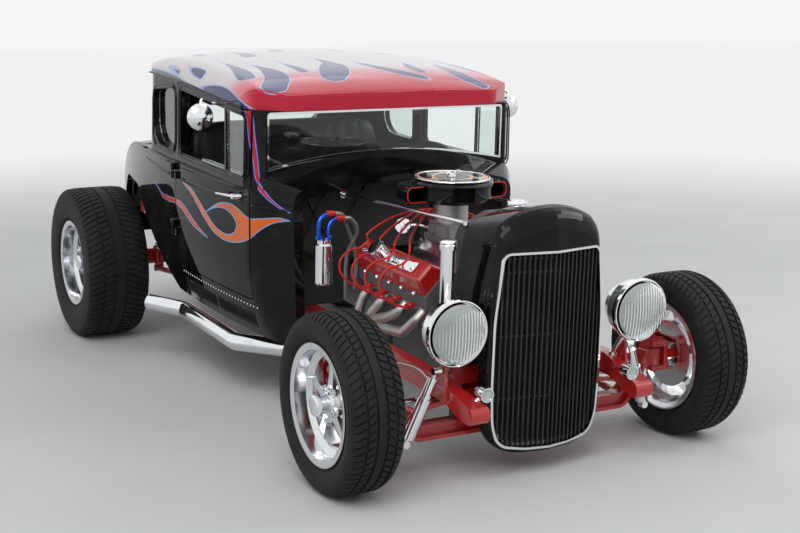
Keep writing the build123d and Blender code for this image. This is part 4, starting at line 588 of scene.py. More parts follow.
class Shader(Nodes):
    """One material and its nodes."""

    def __init__(self, name: str) -> None:
        """Make the material, with a surface node on its output.

        Args:
            name: The material's name.
        """
        self.material = bpy.data.materials.new(name)
        self.material.use_nodes = True
        super().__init__(self.material.node_tree, "ShaderNodeOutputMaterial")
        self.surface = self.tree.nodes.new("ShaderNodeBsdfPrincipled")
        self.tree.links.new(self.surface.outputs[0], self.output.inputs[0])

    def axis(self, which: str) -> Value:
        """X, Y or Z of the object coordinates, which are the row frame's metres."""
        place = self.node("ShaderNodeTexCoord", {}, "Object")
        return self.node("ShaderNodeSeparateXYZ", {0: place}, which)

    def noise(self, scale: float, detail: float = 2.0, rough: float = 0.5) -> Value:
        """Soft noise between 0 and 1 in object coordinates.

        Args:
            scale: How many features there are in a metre, about.
            detail: How many finer layers are added.
            rough: How strong each layer is beside the one before.

        Returns:
            The noise.
        """
        place = self.node("ShaderNodeTexCoord", {}, "Object")
        inputs = {"Vector": place, "Scale": scale, "Detail": detail, "Roughness": rough}
        return self.node("ShaderNodeTexNoise", inputs)

    def attribute(self, name: str) -> Value:
        """A number kept on the piece's points."""
        return self.node("ShaderNodeAttribute", {}, "Fac", attribute_name=name)

    def blend(self, factor: Value | float, a: object, b: object) -> Value:
        """A colour that goes from a to b."""
        return self.node("ShaderNodeMix", {0: factor, 6: a, 7: b}, 2, data_type="RGBA")

    def grain(self, depth: float, scale: float, detail: float = 2.0, rough: float = 0.5) -> Value:
        """A normal that shows noise as relief of a depth in metres."""
        inputs = {"Strength": 1.0, "Distance": depth, "Height": self.noise(scale, detail, rough)}
        return self.node("ShaderNodeBump", inputs)

    def done(self, **sockets: object) -> bpy.types.Material:
        """Set the surface's sockets.

        Args:
            sockets: Values or links by socket name, with underscores for spaces.

        Returns:
            The material.
        """
        for key, value in sockets.items():
            self.feed(self.surface.inputs[key.replace("_", " ")], value)
        return self.material

    def film(self, color: Value, rough: Value | float, coat_rough: float, coat_ior: float,
             **sockets: object) -> bpy.types.Material:
        """Finish the surface as a painted film under a thin clear coat.

        Args:
            color: The film's colour.
            rough: Its roughness.
            coat_rough: The coat's roughness.
            coat_ior: The coat's refractive index.
            sockets: More sockets, as done takes them.

        Returns:
            The material.
        """
        return self.done(Base_Color=color, Roughness=rough, Normal=self.grain(*FILM_PEEL),
                         Specular_IOR_Level=FILM_UNDER, Coat_Weight=1.0, Coat_Roughness=coat_rough,
                         Coat_IOR=coat_ior, **sockets)

    def roof_film(self, color: Value) -> bpy.types.Material:
        """Finish the surface as the roof's film."""
        return self.film(color, self.noise(ROOF_CLOUD) * ROOF_ROUGH[0] + ROOF_ROUGH[1], *ROOF_COAT)


def rgb(r: float, g: float, b: float) -> Color:
    """A colour as a socket takes it."""
    return (r, g, b, 1.0)


CRIMSON = rgb(0.56, 0.012, 0.035)
PINK = rgb(0.80, 0.22, 0.25)
PALE = rgb(0.76, 0.70, 0.70)


@dataclass(frozen=True)
class Paint:
    """Glossy car paint: a coloured base under a clear coat, with a faint orange peel and dust."""

    name: str
    color: Color
    dust: float = 0.05
    under: float = 0.5
    coat_ior: float = 1.40
    base_rough: float = 0.35
    peel: tuple[float, float, float] = (0.00006, 260.0, 1.0)
    coat_rough: float = 0.015
    dust_noise: tuple[float, float, float] = (7.0, 4.0, 0.6)
    dust_range: tuple[float, float] = (0.45, 0.8)
    dust_rough: float = 1.5
    dust_color: Color = rgb(0.35, 0.33, 0.30)

    def material(self) -> bpy.types.Material:
        """Build the paint.

        Returns:
            The material.
        """
        s = Shader(self.name)
        dust = s.noise(*self.dust_noise).over(*self.dust_range) * self.dust
        return s.done(Base_Color=s.blend(dust, self.color, self.dust_color),
                      Roughness=dust * self.dust_rough + self.base_rough, Normal=s.grain(*self.peel),
                      Specular_IOR_Level=self.under, Coat_Weight=1.0,
                      Coat_Roughness=self.coat_rough, Coat_IOR=self.coat_ior)


@dataclass(frozen=True)
class Metal:
    """Bare or plated metal whose roughness and tone wander a little, as handled metal's do."""

    name: str
    color: Color
    rough: float
    wander: float = 0.05
    smear_scale: float = 30.0
    pits: float = 0.0
    pit_scale: float = 400.0
    darkest: float = 0.72
    smear_layers: tuple[float, float] = (5.0, 0.6)
    smear_range: tuple[float, float] = (0.5, 0.95)
    pit_layers: tuple[float, float] = (3.0, 0.6)

    def material(self) -> bpy.types.Material:
        """Build the metal.

        Returns:
            The material.
        """
        s = Shader(self.name)
        smear = s.noise(self.smear_scale, *self.smear_layers)
        dark = rgb(*(self.darkest * c for c in self.color[:3]))
        s.done(Base_Color=s.blend(smear.over(*self.smear_range), self.color, dark),
               Roughness=smear * self.wander + self.rough, Metallic=1.0)
        if self.pits:
            s.done(Normal=s.grain(self.pits, self.pit_scale, *self.pit_layers))
        return s.material


@dataclass(frozen=True)
class Dull:
    """A plain coating or plastic with a little tone change and a fine grain."""

    name: str
    color: Color
    rough: float = 0.5
    grain_depth: float = 0.00005
    grain_scale: float = 500.0
    lighter: float = 1.35
    lift: float = 0.007
    cloud: tuple[float, float, float] = (9.0, 5.0, 0.6)
    cloud_range: tuple[float, float] = (0.35, 0.75)
    cloud_rough: float = 0.15

    def material(self) -> bpy.types.Material:
        """Build the coating.

        Returns:
            The material.
        """
        s = Shader(self.name)
        cloud = s.noise(*self.cloud)
        light = rgb(*(min(1.0, c * self.lighter + self.lift) for c in self.color[:3]))
        return s.done(Base_Color=s.blend(cloud.over(*self.cloud_range), self.color, light),
                      Roughness=cloud * self.cloud_rough + self.rough,
                      Normal=s.grain(self.grain_depth, self.grain_scale))


@dataclass(frozen=True)
class ClearGlass:
    """Window or lens glass with a faint tint."""

    name: str
    color: Color
    rough: float = 0.0
    ior: float = 1.45
    smear_scale: float = 5.0
    smear: float = 0.01

    def material(self) -> bpy.types.Material:
        """Build the glass.

        Returns:
            The material.
        """
        s = Shader(self.name)
        return s.done(Base_Color=self.color, Transmission_Weight=1.0, IOR=self.ior,
                      Roughness=s.noise(self.smear_scale) * self.smear + self.rough)


@dataclass(frozen=True)
class TyreRubber:
    """Tyre rubber: nearly black, with a little dust."""

    name: str
    clean: Color = rgb(0.009, 0.009, 0.010)
    dusty: Color = rgb(0.042, 0.039, 0.036)
    dust_noise: tuple[float, float, float] = (14.0, 6.0, 0.65)
    dust_range: tuple[float, float] = (0.35, 0.8)
    dust_share: float = 0.5
    rough: tuple[float, float] = (0.15, 0.62)
    under: float = 0.25
    skin: tuple[float, float] = (0.00015, 700.0)

    def material(self) -> bpy.types.Material:
        """Build the rubber.

        Returns:
            The material.
        """
        s = Shader(self.name)
        dust = s.noise(*self.dust_noise).over(*self.dust_range)
        return s.done(Base_Color=s.blend(dust * self.dust_share, self.clean, self.dusty),
                      Roughness=dust * self.rough[0] + self.rough[1],
                      Specular_IOR_Level=self.under, Normal=s.grain(*self.skin))


@dataclass(frozen=True)
class FlamePaint:
    """A flame's colour inside its outline, which an edge line follows; clear outside.

    The piece keeps its distance from the outline, in metres and negative inside, as "edge".
    """

    name: str
    fill: Color
    line: Color
    half_line: float = 0.0022
    inner_soft: float = 0.0006
    outer_soft: float = 0.0004
    shaded: float = 0.6
    cloud: tuple[float, float] = (5.0, 3.0)
    cloud_range: tuple[float, float] = (0.35, 0.7)
    cloud_share: float = 0.25
    rough: float = 0.3
    coat: tuple[float, float] = (0.015, 1.35)

    def material(self) -> bpy.types.Material:
        """Build the paint.

        Returns:
            The material.
        """
        s = Shader(self.name)
        edge = s.attribute("edge")
        inside = 1.0 - edge.over(-self.half_line - self.inner_soft, self.inner_soft - self.half_line)
        shown = 1.0 - edge.over(self.half_line - self.outer_soft, self.half_line + self.outer_soft)
        shade = s.noise(*self.cloud).over(*self.cloud_range) * self.cloud_share
        fill = s.blend(shade, self.fill, rgb(*(self.shaded * c for c in self.fill[:3])))
        return s.film(s.blend(inside, self.line, fill), self.rough, *self.coat, Alpha=shown)


@dataclass(frozen=True)
class RoofBase:
    """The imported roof's own paint, crimson ahead and white behind, under the film that covers it."""

    name: str
    front: float = -0.48
    back: float = -0.24

    def material(self) -> bpy.types.Material:
        """Build the paint, which fades along the car's length.

        Returns:
            The material.
        """
        s = Shader(self.name)
        return s.roof_film(s.blend(s.axis("Y").over(self.front, self.back), CRIMSON, PALE))


@dataclass(frozen=True)
class RoofPaint:
    """The roof's fade from crimson to white, with dark flame tongues in light outlines.

    The piece keeps its distance from the tongues as "edge" and its level y as "aft".
    """

    name: str
    front: float = -1.66
    middle: float = -1.56
    back: float = -1.40
    wander: float = 0.05
    cloud: tuple[float, float] = (6.0, 3.0)
    tongue_fade: tuple[float, float] = (-1.60, -0.60)
    line_inner: tuple[float, float] = (-0.0040, -0.0028)
    line_outer: tuple[float, float] = (0.0010, 0.0026)
    navy: Color = rgb(0.018, 0.035, 0.15)
    slate: Color = rgb(0.045, 0.065, 0.13)
    line: Color = rgb(0.42, 0.48, 0.82)

    def material(self) -> bpy.types.Material:
        """Build the paint.

        Returns:
            The material.
        """
        s = Shader(self.name)
        edge, aft = s.attribute("edge"), s.attribute("aft")
        fade = aft + (s.noise(*self.cloud) - 0.5) * self.wander
        base = s.blend(fade.over(self.front, self.middle), CRIMSON, PINK)
        base = s.blend(fade.over(self.middle, self.back), base, PALE)
        tongue = s.blend(aft.over(*self.tongue_fade), self.navy, self.slate)
        inside = 1.0 - edge.over(*self.line_inner)
        line = (1.0 - edge.over(*self.line_outer)) * (1.0 - inside)
        return s.roof_film(s.blend(line, s.blend(inside, base, tongue), self.line))


class Finish(Enum):
    """Every finish on the car."""

    BLACK = Paint("gloss_black", rgb(0.004, 0.004, 0.005), under=0.0, coat_ior=1.30)
    RED = Paint("frame_red", rgb(0.50, 0.012, 0.010), dust=0.04)
    ROOF = RoofBase("roof_base")
    ROOF_FLAMES = RoofPaint("flamed_roof_paint")
    ORANGE_FLAME = FlamePaint("flame_orange", rgb(0.86, 0.15, 0.012), rgb(0.20, 0.42, 0.72))
    RED_FLAME = FlamePaint("flame_red", rgb(0.82, 0.07, 0.02), rgb(0.22, 0.34, 0.72))
    POST_FLAME = FlamePaint("flame_crimson", rgb(0.58, 0.012, 0.03), rgb(0.20, 0.24, 0.75))
    LID_FLAME = FlamePaint("lid_flame", rgb(0.86, 0.30, 0.10), rgb(0.85, 0.72, 0.62))
    CHROME = Metal("chrome", rgb(0.86, 0.87, 0.89), 0.03, 0.05, 18.0)
    POLISHED = Metal("polished_alloy", rgb(0.80, 0.81, 0.83), 0.10, 0.10, 25.0)
    CAST = Metal("cast_alloy", rgb(0.42, 0.42, 0.43), 0.38, 0.20, 40.0, 0.0004, 500.0)
    STEEL = Metal("bare_steel", rgb(0.50, 0.50, 0.51), 0.28, 0.20, 35.0)
    HEADER = Metal("header_steel", rgb(0.46, 0.44, 0.42), 0.32, 0.22, 45.0, 0.0001, 300.0)
    BLUE = Metal("blue_anodised", rgb(0.03, 0.12, 0.60), 0.25)
    BOWL = Metal("lamp_bowl", rgb(0.50, 0.52, 0.51), 0.16, 0.10, 30.0)
    BRAID = Metal("braided_hose", rgb(0.55, 0.54, 0.52), 0.30, 0.20, 60.0, 0.0005, 900.0)
    IRON = Dull("block_grey", rgb(0.10, 0.10, 0.105), 0.45, 0.0004, 350.0)
    SATIN = Dull("satin_black", rgb(0.012, 0.012, 0.013), 0.42)
    FLOOR = Dull("under_coat", rgb(0.030, 0.028, 0.027), 0.75, 0.0003, 250.0)
    SEAT = Dull("seat_black", rgb(0.012, 0.012, 0.013), 0.38, 0.0002, 900.0)
    RED_RUBBER = Dull("red_lead", rgb(0.55, 0.015, 0.012), 0.35, 0.0001)
    TAIL = Dull("tail_lens", rgb(0.50, 0.010, 0.008), 0.06, 0.0, 400.0)
    SCREEN = Dull("screen_black", rgb(0.004, 0.004, 0.005), 0.7, 0.0002, 900.0)
    DIAL = Dull("dial_white", rgb(0.62, 0.62, 0.58), 0.4)
    TYRE = TyreRubber("tyre_rubber")
    GLASS = ClearGlass("window_glass", rgb(0.90, 0.96, 0.94))
    LENS = ClearGlass("lens_glass", rgb(0.96, 0.98, 0.99), 0.02)
    LENS_FACE = ClearGlass("fluted_lens", rgb(0.80, 0.86, 0.83), 0.04)


@lru_cache(maxsize=None)
def material(finish: Finish) -> bpy.types.Material:
    """The material of a finish, made once."""
    return finish.value.material()


NODE_NAMES: dict[Finish, str] = {
    Finish.BLACK: "tub windscreen_surround cab_rear deck_lid door_left door_right grille_shell"
                  " air_cleaner dashboard",
    Finish.ROOF: "roof_panel",
    Finish.RED: "chassis_frame front_axle front_spring radius_rods knuckle_left knuckle_right"
                " valve_covers rear_axle ladder_bars",
    Finish.CHROME: "shock_absorbers coil_overs side_pipes lamps support_rods canister_and_overflow"
                   " windscreen_frame grille_trim tie_rod door_fittings_left door_fittings_right",
    Finish.POLISHED: "wheel_front_left wheel_front_right wheel_rear_left wheel_rear_right"
                     " intake_manifold",
    Finish.CAST: "carburettor gearbox",
    Finish.IRON: "engine_block",
    Finish.HEADER: "exhaust_headers",
    Finish.STEEL: "front_drive driveshaft",
    Finish.SATIN: "grille_bars radiator distributor steering_column steering_wheel",
    Finish.FLOOR: "floor_pan",
    Finish.TYRE: "tyre_front_left tyre_front_right tyre_rear_left tyre_rear_right",
    Finish.GLASS: "fixed_glass door_glass_left door_glass_right",
    Finish.LENS: "lamp_lenses",
    Finish.SEAT: "bench_seat",
}


def dress_nodes(nodes: dict[str, bpy.types.Object]) -> None:
    """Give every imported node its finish.

    Args:
        nodes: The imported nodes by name.
    """
    finish_of = {name: finish for finish, names in NODE_NAMES.items() for name in names.split()}
    for name, thing in nodes.items():
        thing.data.materials.clear()
        thing.data.materials.append(material(finish_of[name]))


@dataclass
class RoofFlames:
    """The roof's paint: a thin skin over the panel that knows how far each flame tongue is.

    A tongue is a bulb with a tail, its points level millimetres and radius, x y z r. The plan
    is the roof's outline, x y, and each row of heights is y, the corner's and the crown's.
    """

    stance: Stance
    node: bpy.types.Object
    middle_y: float = -1.05
    around: int = 460
    rows_top: int = 84
    rows_edge: int = 14
    rows_wall: int = 12
    edge_round: float = 0.075
    edge_share: float = 0.8
    spare: float = 0.010
    gap: float = 0.0006
    tongue_points: int = 26
    half_width: float = 0.61
    foot_drop: float = 0.0015
    lip: float = 0.002
    plan: Rows = ((0, -1744), (280, -1738), (450, -1724), (548, -1672), (600, -1596), (615, -1400),
                  (618, -1050), (614, -760), (602, -580), (556, -450), (440, -370), (240, -352),
                  (0, -352))
    heights: Rows = ((-1765, 1320, 1340), (-1640, 1366, 1398), (-1300, 1404, 1441),
                     (-900, 1416, 1456), (-600, 1402, 1441), (-430, 1372, 1408), (-325, 1334, 1362))
    single: tuple[Rows, ...] = (
        ((-492, -1642, 1376, 54), (-437, -1548, 1402, 52), (-414, -1445, 1415, 42),
         (-412, -1340, 1423, 21), (-424, -1210, 1428, 9), (-432, -1080, 1432, 3)),
        ((-214, -1598, 1405, 52), (-178, -1530, 1418, 64), (-130, -1424, 1431, 58),
         (-108, -1330, 1438, 30), (-114, -1200, 1446, 11), (-142, -1040, 1452, 3)),
        ((-291, -1480, 1418, 24), (-290, -1400, 1426, 22), (-294, -1290, 1434, 13),
         (-300, -1160, 1440, 5), (-310, -1050, 1444, 2)),
        ((180, -1634, 1395, 28), (118, -1576, 1410, 36), (64, -1492, 1422, 33),
         (30, -1400, 1432, 20), (10, -1300, 1441, 9), (2, -1160, 1448, 3)),
        ((216, -1545, 1414, 27), (214, -1470, 1422, 30), (236, -1380, 1430, 16),
         (252, -1280, 1437, 7), (262, -1170, 1442, 3)),
        ((424, -1690, 1362, 32), (390, -1620, 1388, 44), (387, -1530, 1405, 38),
         (385, -1430, 1416, 24), (396, -1330, 1424, 10), (412, -1220, 1430, 3)))
    paired: tuple[Rows, ...] = (
        ((-538, -1476, 1398, 40), (-516, -1372, 1408, 37), (-502, -1268, 1417, 23),
         (-494, -1130, 1426, 9), (-502, -980, 1430, 3)),
        ((-598, -1150, 1383, 30), (-594, -1050, 1390, 26), (-584, -930, 1400, 13), (-560, -790, 1412, 4)),
        ((-607, -905, 1372, 22), (-600, -800, 1380, 20), (-594, -700, 1386, 10), (-578, -600, 1386, 3)),
        ((-614, -1090, 1337, 5), (-612, -1200, 1334, 18), (-608, -1330, 1328, 38),
         (-607, -1450, 1322, 38), (-606, -1560, 1306, 26), (-588, -1634, 1288, 12)),
        ((-620, -1030, 1334, 8), (-617, -900, 1340, 20), (-612, -700, 1342, 26),
         (-596, -560, 1340, 24), (-500, -400, 1340, 20), (-300, -352, 1338, 18), (0, -350, 1338, 18)),
        ((-330, -1010, 1446, 34), (-318, -920, 1450, 30), (-326, -800, 1448, 15), (-350, -660, 1436, 4)),
        ((-150, -890, 1453, 38), (-120, -800, 1452, 34), (-108, -690, 1446, 17), (-120, -560, 1432, 4)),
        ((-470, -800, 1430, 32), (-452, -710, 1430, 27), (-446, -610, 1424, 13), (-440, -500, 1406, 4)),
        ((-270, -640, 1436, 27), (-258, -570, 1430, 23), (-260, -490, 1412, 4)))

    def height(self, x: Array, y: Array) -> Array:
        """The roof's level height, which falls from its crown with the square of x.

        Args:
            x: Level x.
            y: Level y.

        Returns:
            The heights.
        """
        along_y, corner, crown = mm(*self.heights).T
        top = np.interp(y, along_y, crown)
        return top - (top - np.interp(y, along_y, corner)) * (x / self.half_width)**2

    def skin(self) -> Array:
        """The starting skin, a little outside the panel.

        Rays go out from the roof's middle to the plan's outline. Each row follows the crown,
        turns down through a quarter circle near the outline and ends at the drip line.

        Returns:
            A grid of level points, (rays, rows, 3).
        """
        half = mm(*self.plan)
        edge = smooth_path(np.concatenate([half, (half * [-1, 1])[::-1][1:-1]]), self.around, closed=True)
        centre = np.array([0.0, self.middle_y])
        reach = np.linalg.norm(edge - centre, axis=1)[:, None]
        way = (edge - centre) / reach
        reach = reach + self.spare
        foot = SIDE.drip(edge[:, 1])[:, None] + self.foot_drop
        rim = self.height(edge[:, 0], edge[:, 1])[:, None] + self.spare
        turn = np.minimum(self.edge_round, self.edge_share * (rim - foot))
        top = np.linspace(0, 1, self.rows_top, endpoint=False)[None] * (reach - turn)
        angle = np.linspace(0, pi / 2, self.rows_edge, endpoint=False)[None]
        bend = reach - turn + turn * np.sin(angle)
        far = np.concatenate([top, bend, np.broadcast_to(reach, (len(edge), self.rows_wall))], 1)
        xy = centre + way[:, None] * far[..., None]
        z = self.height(xy[..., 0], xy[..., 1]) + self.spare
        z_bend = z[:, self.rows_top:self.rows_top + self.rows_edge] - turn * (1 - np.cos(angle))
        share = np.linspace(0, 1, self.rows_wall)[None]
        z_wall = (z_bend[:, -1:] - self.lip) * (1 - share) + foot * share
        z = np.concatenate([z[:, :self.rows_top], z_bend, z_wall], 1)
        return np.concatenate([xy, z[..., None]], -1)

    def build(self) -> None:
        """Make the skin, lay it on the panel and give it its distances."""
        skin = self.skin()
        flat = skin.reshape(-1, 3)
        gap = np.full(len(flat), 1.0)
        strokes = [smooth_path(mm(*rows), self.tongue_points) for rows in self.single + self.paired]
        strokes += [stroke * [-1, 1, 1, 1] for stroke in strokes[len(self.single):]]
        for stroke in strokes:
            gap = np.minimum(gap, stroke_distance(flat, stroke))
        piece = Piece("roof_flame_paint")
        piece.grid(self.stance.body(skin), round_u=True, flip=True, edge=gap, aft=flat[:, 1])
        piece.build("flamed_roof", Finish.ROOF_FLAMES, sharp=60.0,
                    lay=(self.node, "NEAREST_SURFACEPOINT", self.gap))


class Panel(Enum):
    """The panels that carry side flames: node stem, body stem, and level y limits."""

    COWL = ("tub", "chassis", -1.834, -1.6485)
    DOOR = ("door", "door", -1.6415, -0.8985)
    QUARTER = ("tub", "chassis", -0.8915, -0.50)
    PILLAR = ("windscreen_surround", "chassis", -1.70, -1.60)


@dataclass
class SideFlames:
    """Flames on both body sides and up the windscreen posts.

    The outlines' points are level y and z, and the lick's are y, z and radius.
    """

    stance: Stance
    nodes: dict[str, bpy.types.Object]
    step: float = 0.003
    margin: float = 0.006
    gap: float = 0.0007
    start: float = 0.02
    post_foot: float = 0.99
    post_half: float = 0.625
    hook: Rows = ((-1820, 882), (-1780, 887), (-1739, 881), (-1697, 873), (-1645, 866), (-1600, 875),
                  (-1550, 890), (-1490, 899), (-1409, 891), (-1333, 866), (-1252, 827))
    hole: Rows = ((-1252, 827), (-1323, 854), (-1390, 869), (-1455, 869), (-1507, 852), (-1537, 826),
                  (-1524, 794), (-1481, 773), (-1426, 768), (-1351, 779), (-1292, 803),
                  (-1220, 841), (-1156, 873), (-1089, 900), (-992, 911))
    belly: Rows = ((-992, 909), (-1041, 895), (-1100, 874), (-1166, 836), (-1241, 795),
                   (-1321, 759), (-1407, 743), (-1480, 743), (-1566, 757), (-1638, 783),
                   (-1677, 812), (-1717, 844), (-1763, 868), (-1820, 882))
    lick: Rows = ((-572, 846, 1), (-658, 821, 4), (-706, 806, 9), (-798, 806, 10.5), (-890, 811, 10),
                  (-976, 804, 14), (-1045, 781, 15), (-1110, 757, 13), (-1190, 736, 6), (-1265, 720, 1))
    post_back: Rows = ((-1612, 1289), (-1623, 1250), (-1632, 1174), (-1649, 1097), (-1662, 1021),
                       (-1697, 985), (-1733, 953), (-1781, 925), (-1822, 913))
    post_front: Rows = ((-1822, 913), (-1785, 930), (-1745, 959), (-1714, 991), (-1679, 1024),
                        (-1668, 1100), (-1657, 1176), (-1648, 1253), (-1642, 1289))

    def outline(self, *runs: Rows) -> Array:
        """A closed outline from smooth runs that meet in points."""
        return np.concatenate([smooth_path(mm(*run), 8 * len(run)) for run in runs])

    def film(self, name: str, panel: Panel, side: str, finish: Finish, shape: Array) -> None:
        """Lay one shape's film on a panel.

        The film is a grid over level y and z whose x starts just outside the body's side.

        Args:
            name: The piece's name.
            panel: Where it lies.
            side: right or left.
            finish: Its paint.
            shape: A closed outline, (n, 2), or a stroke of (y, z, radius), (n, 3).
        """
        stem, body, y0, y1 = panel.value
        node = stem if stem in self.nodes else f"{stem}_{side}"
        distance = stroke_distance if shape.shape[1] == 3 else outline_distance
        reach = shape[:, 2:].max(initial=0.0) + self.margin
        low, high = shape[:, :2].min(0) - reach, shape[:, :2].max(0) + reach
        low[0], high[0] = max(low[0], y0), min(high[0], y1)
        if high[0] - low[0] < self.step:
            return
        y, z = (np.linspace(low[k], high[k], int((high[k] - low[k]) / self.step) + 2) for k in (0, 1))
        yy, zz = np.meshgrid(y, z, indexing="ij")
        gap = distance(np.stack([yy.ravel(), zz.ravel()], -1), shape)
        x = np.where(zz > self.post_foot, self.post_half, SIDE.lower(yy)) + self.start
        piece = Piece(f"{name}_{side}")
        piece.grid(self.stance.body(np.stack([x, yy, zz], -1), SIDES[side]), flip=side == "left",
                   near=gap.reshape(yy.shape) < self.margin, edge=gap)
        piece.build("flamed_roof", finish, body=body if body == "chassis" else f"{body}_{side}",
                    sharp=80.0, lay=(self.nodes[node], "PROJECT", self.gap))

    def build(self) -> None:
        """Lay every side flame, mirrored on the far side."""
        flame = self.outline(self.hook, self.hole, self.belly)
        lick = smooth_path(mm(*self.lick), 70)
        post = self.outline(self.post_back, self.post_front)
        for side in SIDES:
            self.film("side_flame_cowl", Panel.COWL, side, Finish.ORANGE_FLAME, flame)
            self.film("side_flame_door", Panel.DOOR, side, Finish.ORANGE_FLAME, flame)
            self.film("lick_flame_door", Panel.DOOR, side, Finish.RED_FLAME, lick)
            self.film("lick_flame_quarter", Panel.QUARTER, side, Finish.RED_FLAME, lick)
            self.film("post_flame_cowl", Panel.COWL, side, Finish.POST_FLAME, post)
            self.film("post_flame_door", Panel.DOOR, side, Finish.POST_FLAME, post)
            self.film("post_flame_surround", Panel.PILLAR, side, Finish.POST_FLAME, post)


@dataclass
class Tyre:
    """A tyre with cut tread blocks, which stands for the plain imported tyre.

    Each of the shoulder's rows is how far it lies in from the tyre's half width and radius. A
    groove's row is its place as a share of the half width, then how deep the cross grooves run
    on its outer and inner edge. block_lines are shares of the pitch between blocks.
    """

    name: str
    body: str
    middle: Array
    radius: float
    width: float
    rim_width: float
    blocks: int
    sign: float
    depth: float = 0.0065
    groove: float = 0.0042
    edge: float = 0.0008
    bead_radius: float = 0.1915
    bead_seat: float = 0.1905
    bead_inset: float = 0.009
    flange: tuple[float, float] = (0.001, 0.2125)
    flare: float = 0.2265
    bulge: float = 0.004
    wall_inset: tuple[float, ...] = (8, 1, 3, 8)
    wall_top: tuple[float, float] = (34, 21)
    shoulder: Rows = ((10.5, 16.5), (14, 12), (26, 5))
    grooves: Rows = ((0.53, 1.0, 1.0), (0.18, 0.8, 0.0))
    crown: float = 0.0026
    slant: float = 1.87
    slant_power: float = 1.25
    tread_height: float = 0.03
    block_lines: tuple[float, ...] = (0.0, 0.05, 0.24, 0.29)
    wall_points: int = 26
    rib: float = 0.0007

    def half_section(self) -> tuple[Array, Array]:
        """One half of the section, from bead to tread centre.

        Returns:
            The points of (across, radius), (n, 2), and for each how deep the grooves across
            the tread are cut there, as a share.
        """
        w, r = self.width / 2, self.radius
        bead = self.rim_width / 2 - self.bead_inset
        radii = [self.flare, (self.bead_seat + r) / 2 + self.bulge, *(r - mm(*self.wall_top))]
        wall = smooth_path([(bead, self.bead_radius), (bead + self.flange[0], self.flange[1]),
                            *zip(w - mm(*self.wall_inset), radii)], self.wall_points)
        ribs = self.rib * (np.sin(np.arange(len(wall)) * pi / 2) > 0.5)
        wall[:, 0] = np.minimum(wall[:, 0] + ribs, w)
        rows = [(w - x, r - y, 1.0) for x, y in mm(*self.shoulder)]
        for share, outer_cut, inner_cut in self.grooves:
            outer, inner = share * w + self.groove, share * w - self.groove
            top = r - self.crown * share**2
            rows += [(outer + self.edge, top, outer_cut), (outer - self.edge, top - self.depth, 0.0),
                     (inner + self.edge, top - self.depth, 0.0), (inner - self.edge, top, inner_cut)]
        tread = np.array(rows + [(0.0, r, 0.0)])
        cut = np.concatenate([np.zeros(len(wall)), tread[:, 2]])
        return np.concatenate([wall, tread[:, :2]]), cut

    def build(self) -> None:
        """Make the tyre.

        Round the tyre each block takes four lines: two on its top and two on the floor of the
        groove behind it. The lines run slantwise over the tread, forming a V. The radius is the
        section's, less the groove's depth where a line is on a floor.
        """
        half, cut = self.half_section()
        across, radius = np.concatenate([half, (half * [-1, 1])[::-1][1:]]).T
        cuts = np.concatenate([cut, cut[::-1][1:]])
        pitch = 2 * pi / self.blocks
        angle = ((np.arange(self.blocks)[:, None] + self.block_lines) * pitch).ravel()
        deep = np.tile([0.0, 1.0, 1.0, 0.0], self.blocks)
        lean = self.slant * pitch * (np.abs(across) / (self.width / 2))**self.slant_power
        lean = np.where(radius > self.radius - self.tread_height, lean, lean[cuts > 0].max())
        a = angle[:, None] + lean[None]
        r = radius[None] - self.depth * deep[:, None] * cuts[None]
        grid = np.stack([self.sign * across + 0 * r, r * np.cos(a), r * np.sin(a)], -1) + self.middle
        piece = Piece(self.name + "_treaded")
        piece.grid(grid, round_u=True, round_v=True, flip=self.sign > 0)
        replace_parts(piece.build("tyre", Finish.TYRE, body=self.body, sharp=32.0), self.name)


@dataclass
class WheelDress:
    """Lug nuts, centre cap and valve of one five-spoke wheel."""

    name: str
    body: str
    middle: Array
    face: float
    sign: float
    lug_ring: float = 0.057
    lugs: int = 5
    first_lug: float = radians(126)
    nut_turn: float = 0.3
    nut: Rows = ((-6, 0), (-6, 12.5), (10, 12.5), (13, 10.5), (20, 10.5), (22.5, 8), (22.5, 0))
    cap: Rows = ((45, 0), (45, 36), (60.5, 36), (62.5, 34.5), (64.5, 30), (66.5, 20), (67.2, 10), (67.5, 0))
    stem: Rows = ((0, 0), (0, 4.5), (18, 4), (19, 5), (30, 5), (31, 4), (31, 0))
    stem_angle: float = 0.35
    stem_foot: tuple[float, float] = (-0.012, 0.158)
    stem_aim: tuple[float, float] = (0.2, 0.140)

    def at(self, x: float, radius: float = 0.0, angle: float = 0.0) -> Array:
        """A point x outward of the wheel's middle, off its axis by a radius at an angle."""
        return self.middle + [self.sign * x, radius * cos(angle), radius * sin(angle)]

    def build(self) -> None:
        """Make the chrome pieces, turned about the wheel's own axis."""
        axis = (self.sign, 0.0, 0.0)
        piece = Piece(self.name + "_bright_parts")
        for k in range(self.lugs):
            angle = self.first_lug + 2 * pi * k / self.lugs
            spot = self.at(self.face, self.lug_ring, angle)
            piece.turning(mm(*self.nut), 6, spot, axis, phase=self.nut_turn * k)
        piece.turning(mm(*self.cap), 40, self.at(self.face), axis)
        foot, aim = (self.at(self.face + x, radius, self.stem_angle)
                     for x, radius in (self.stem_foot, self.stem_aim))
        piece.turning(mm(*self.stem), 12, foot, aim - foot)
        piece.build("chrome", Finish.CHROME, body=self.body)


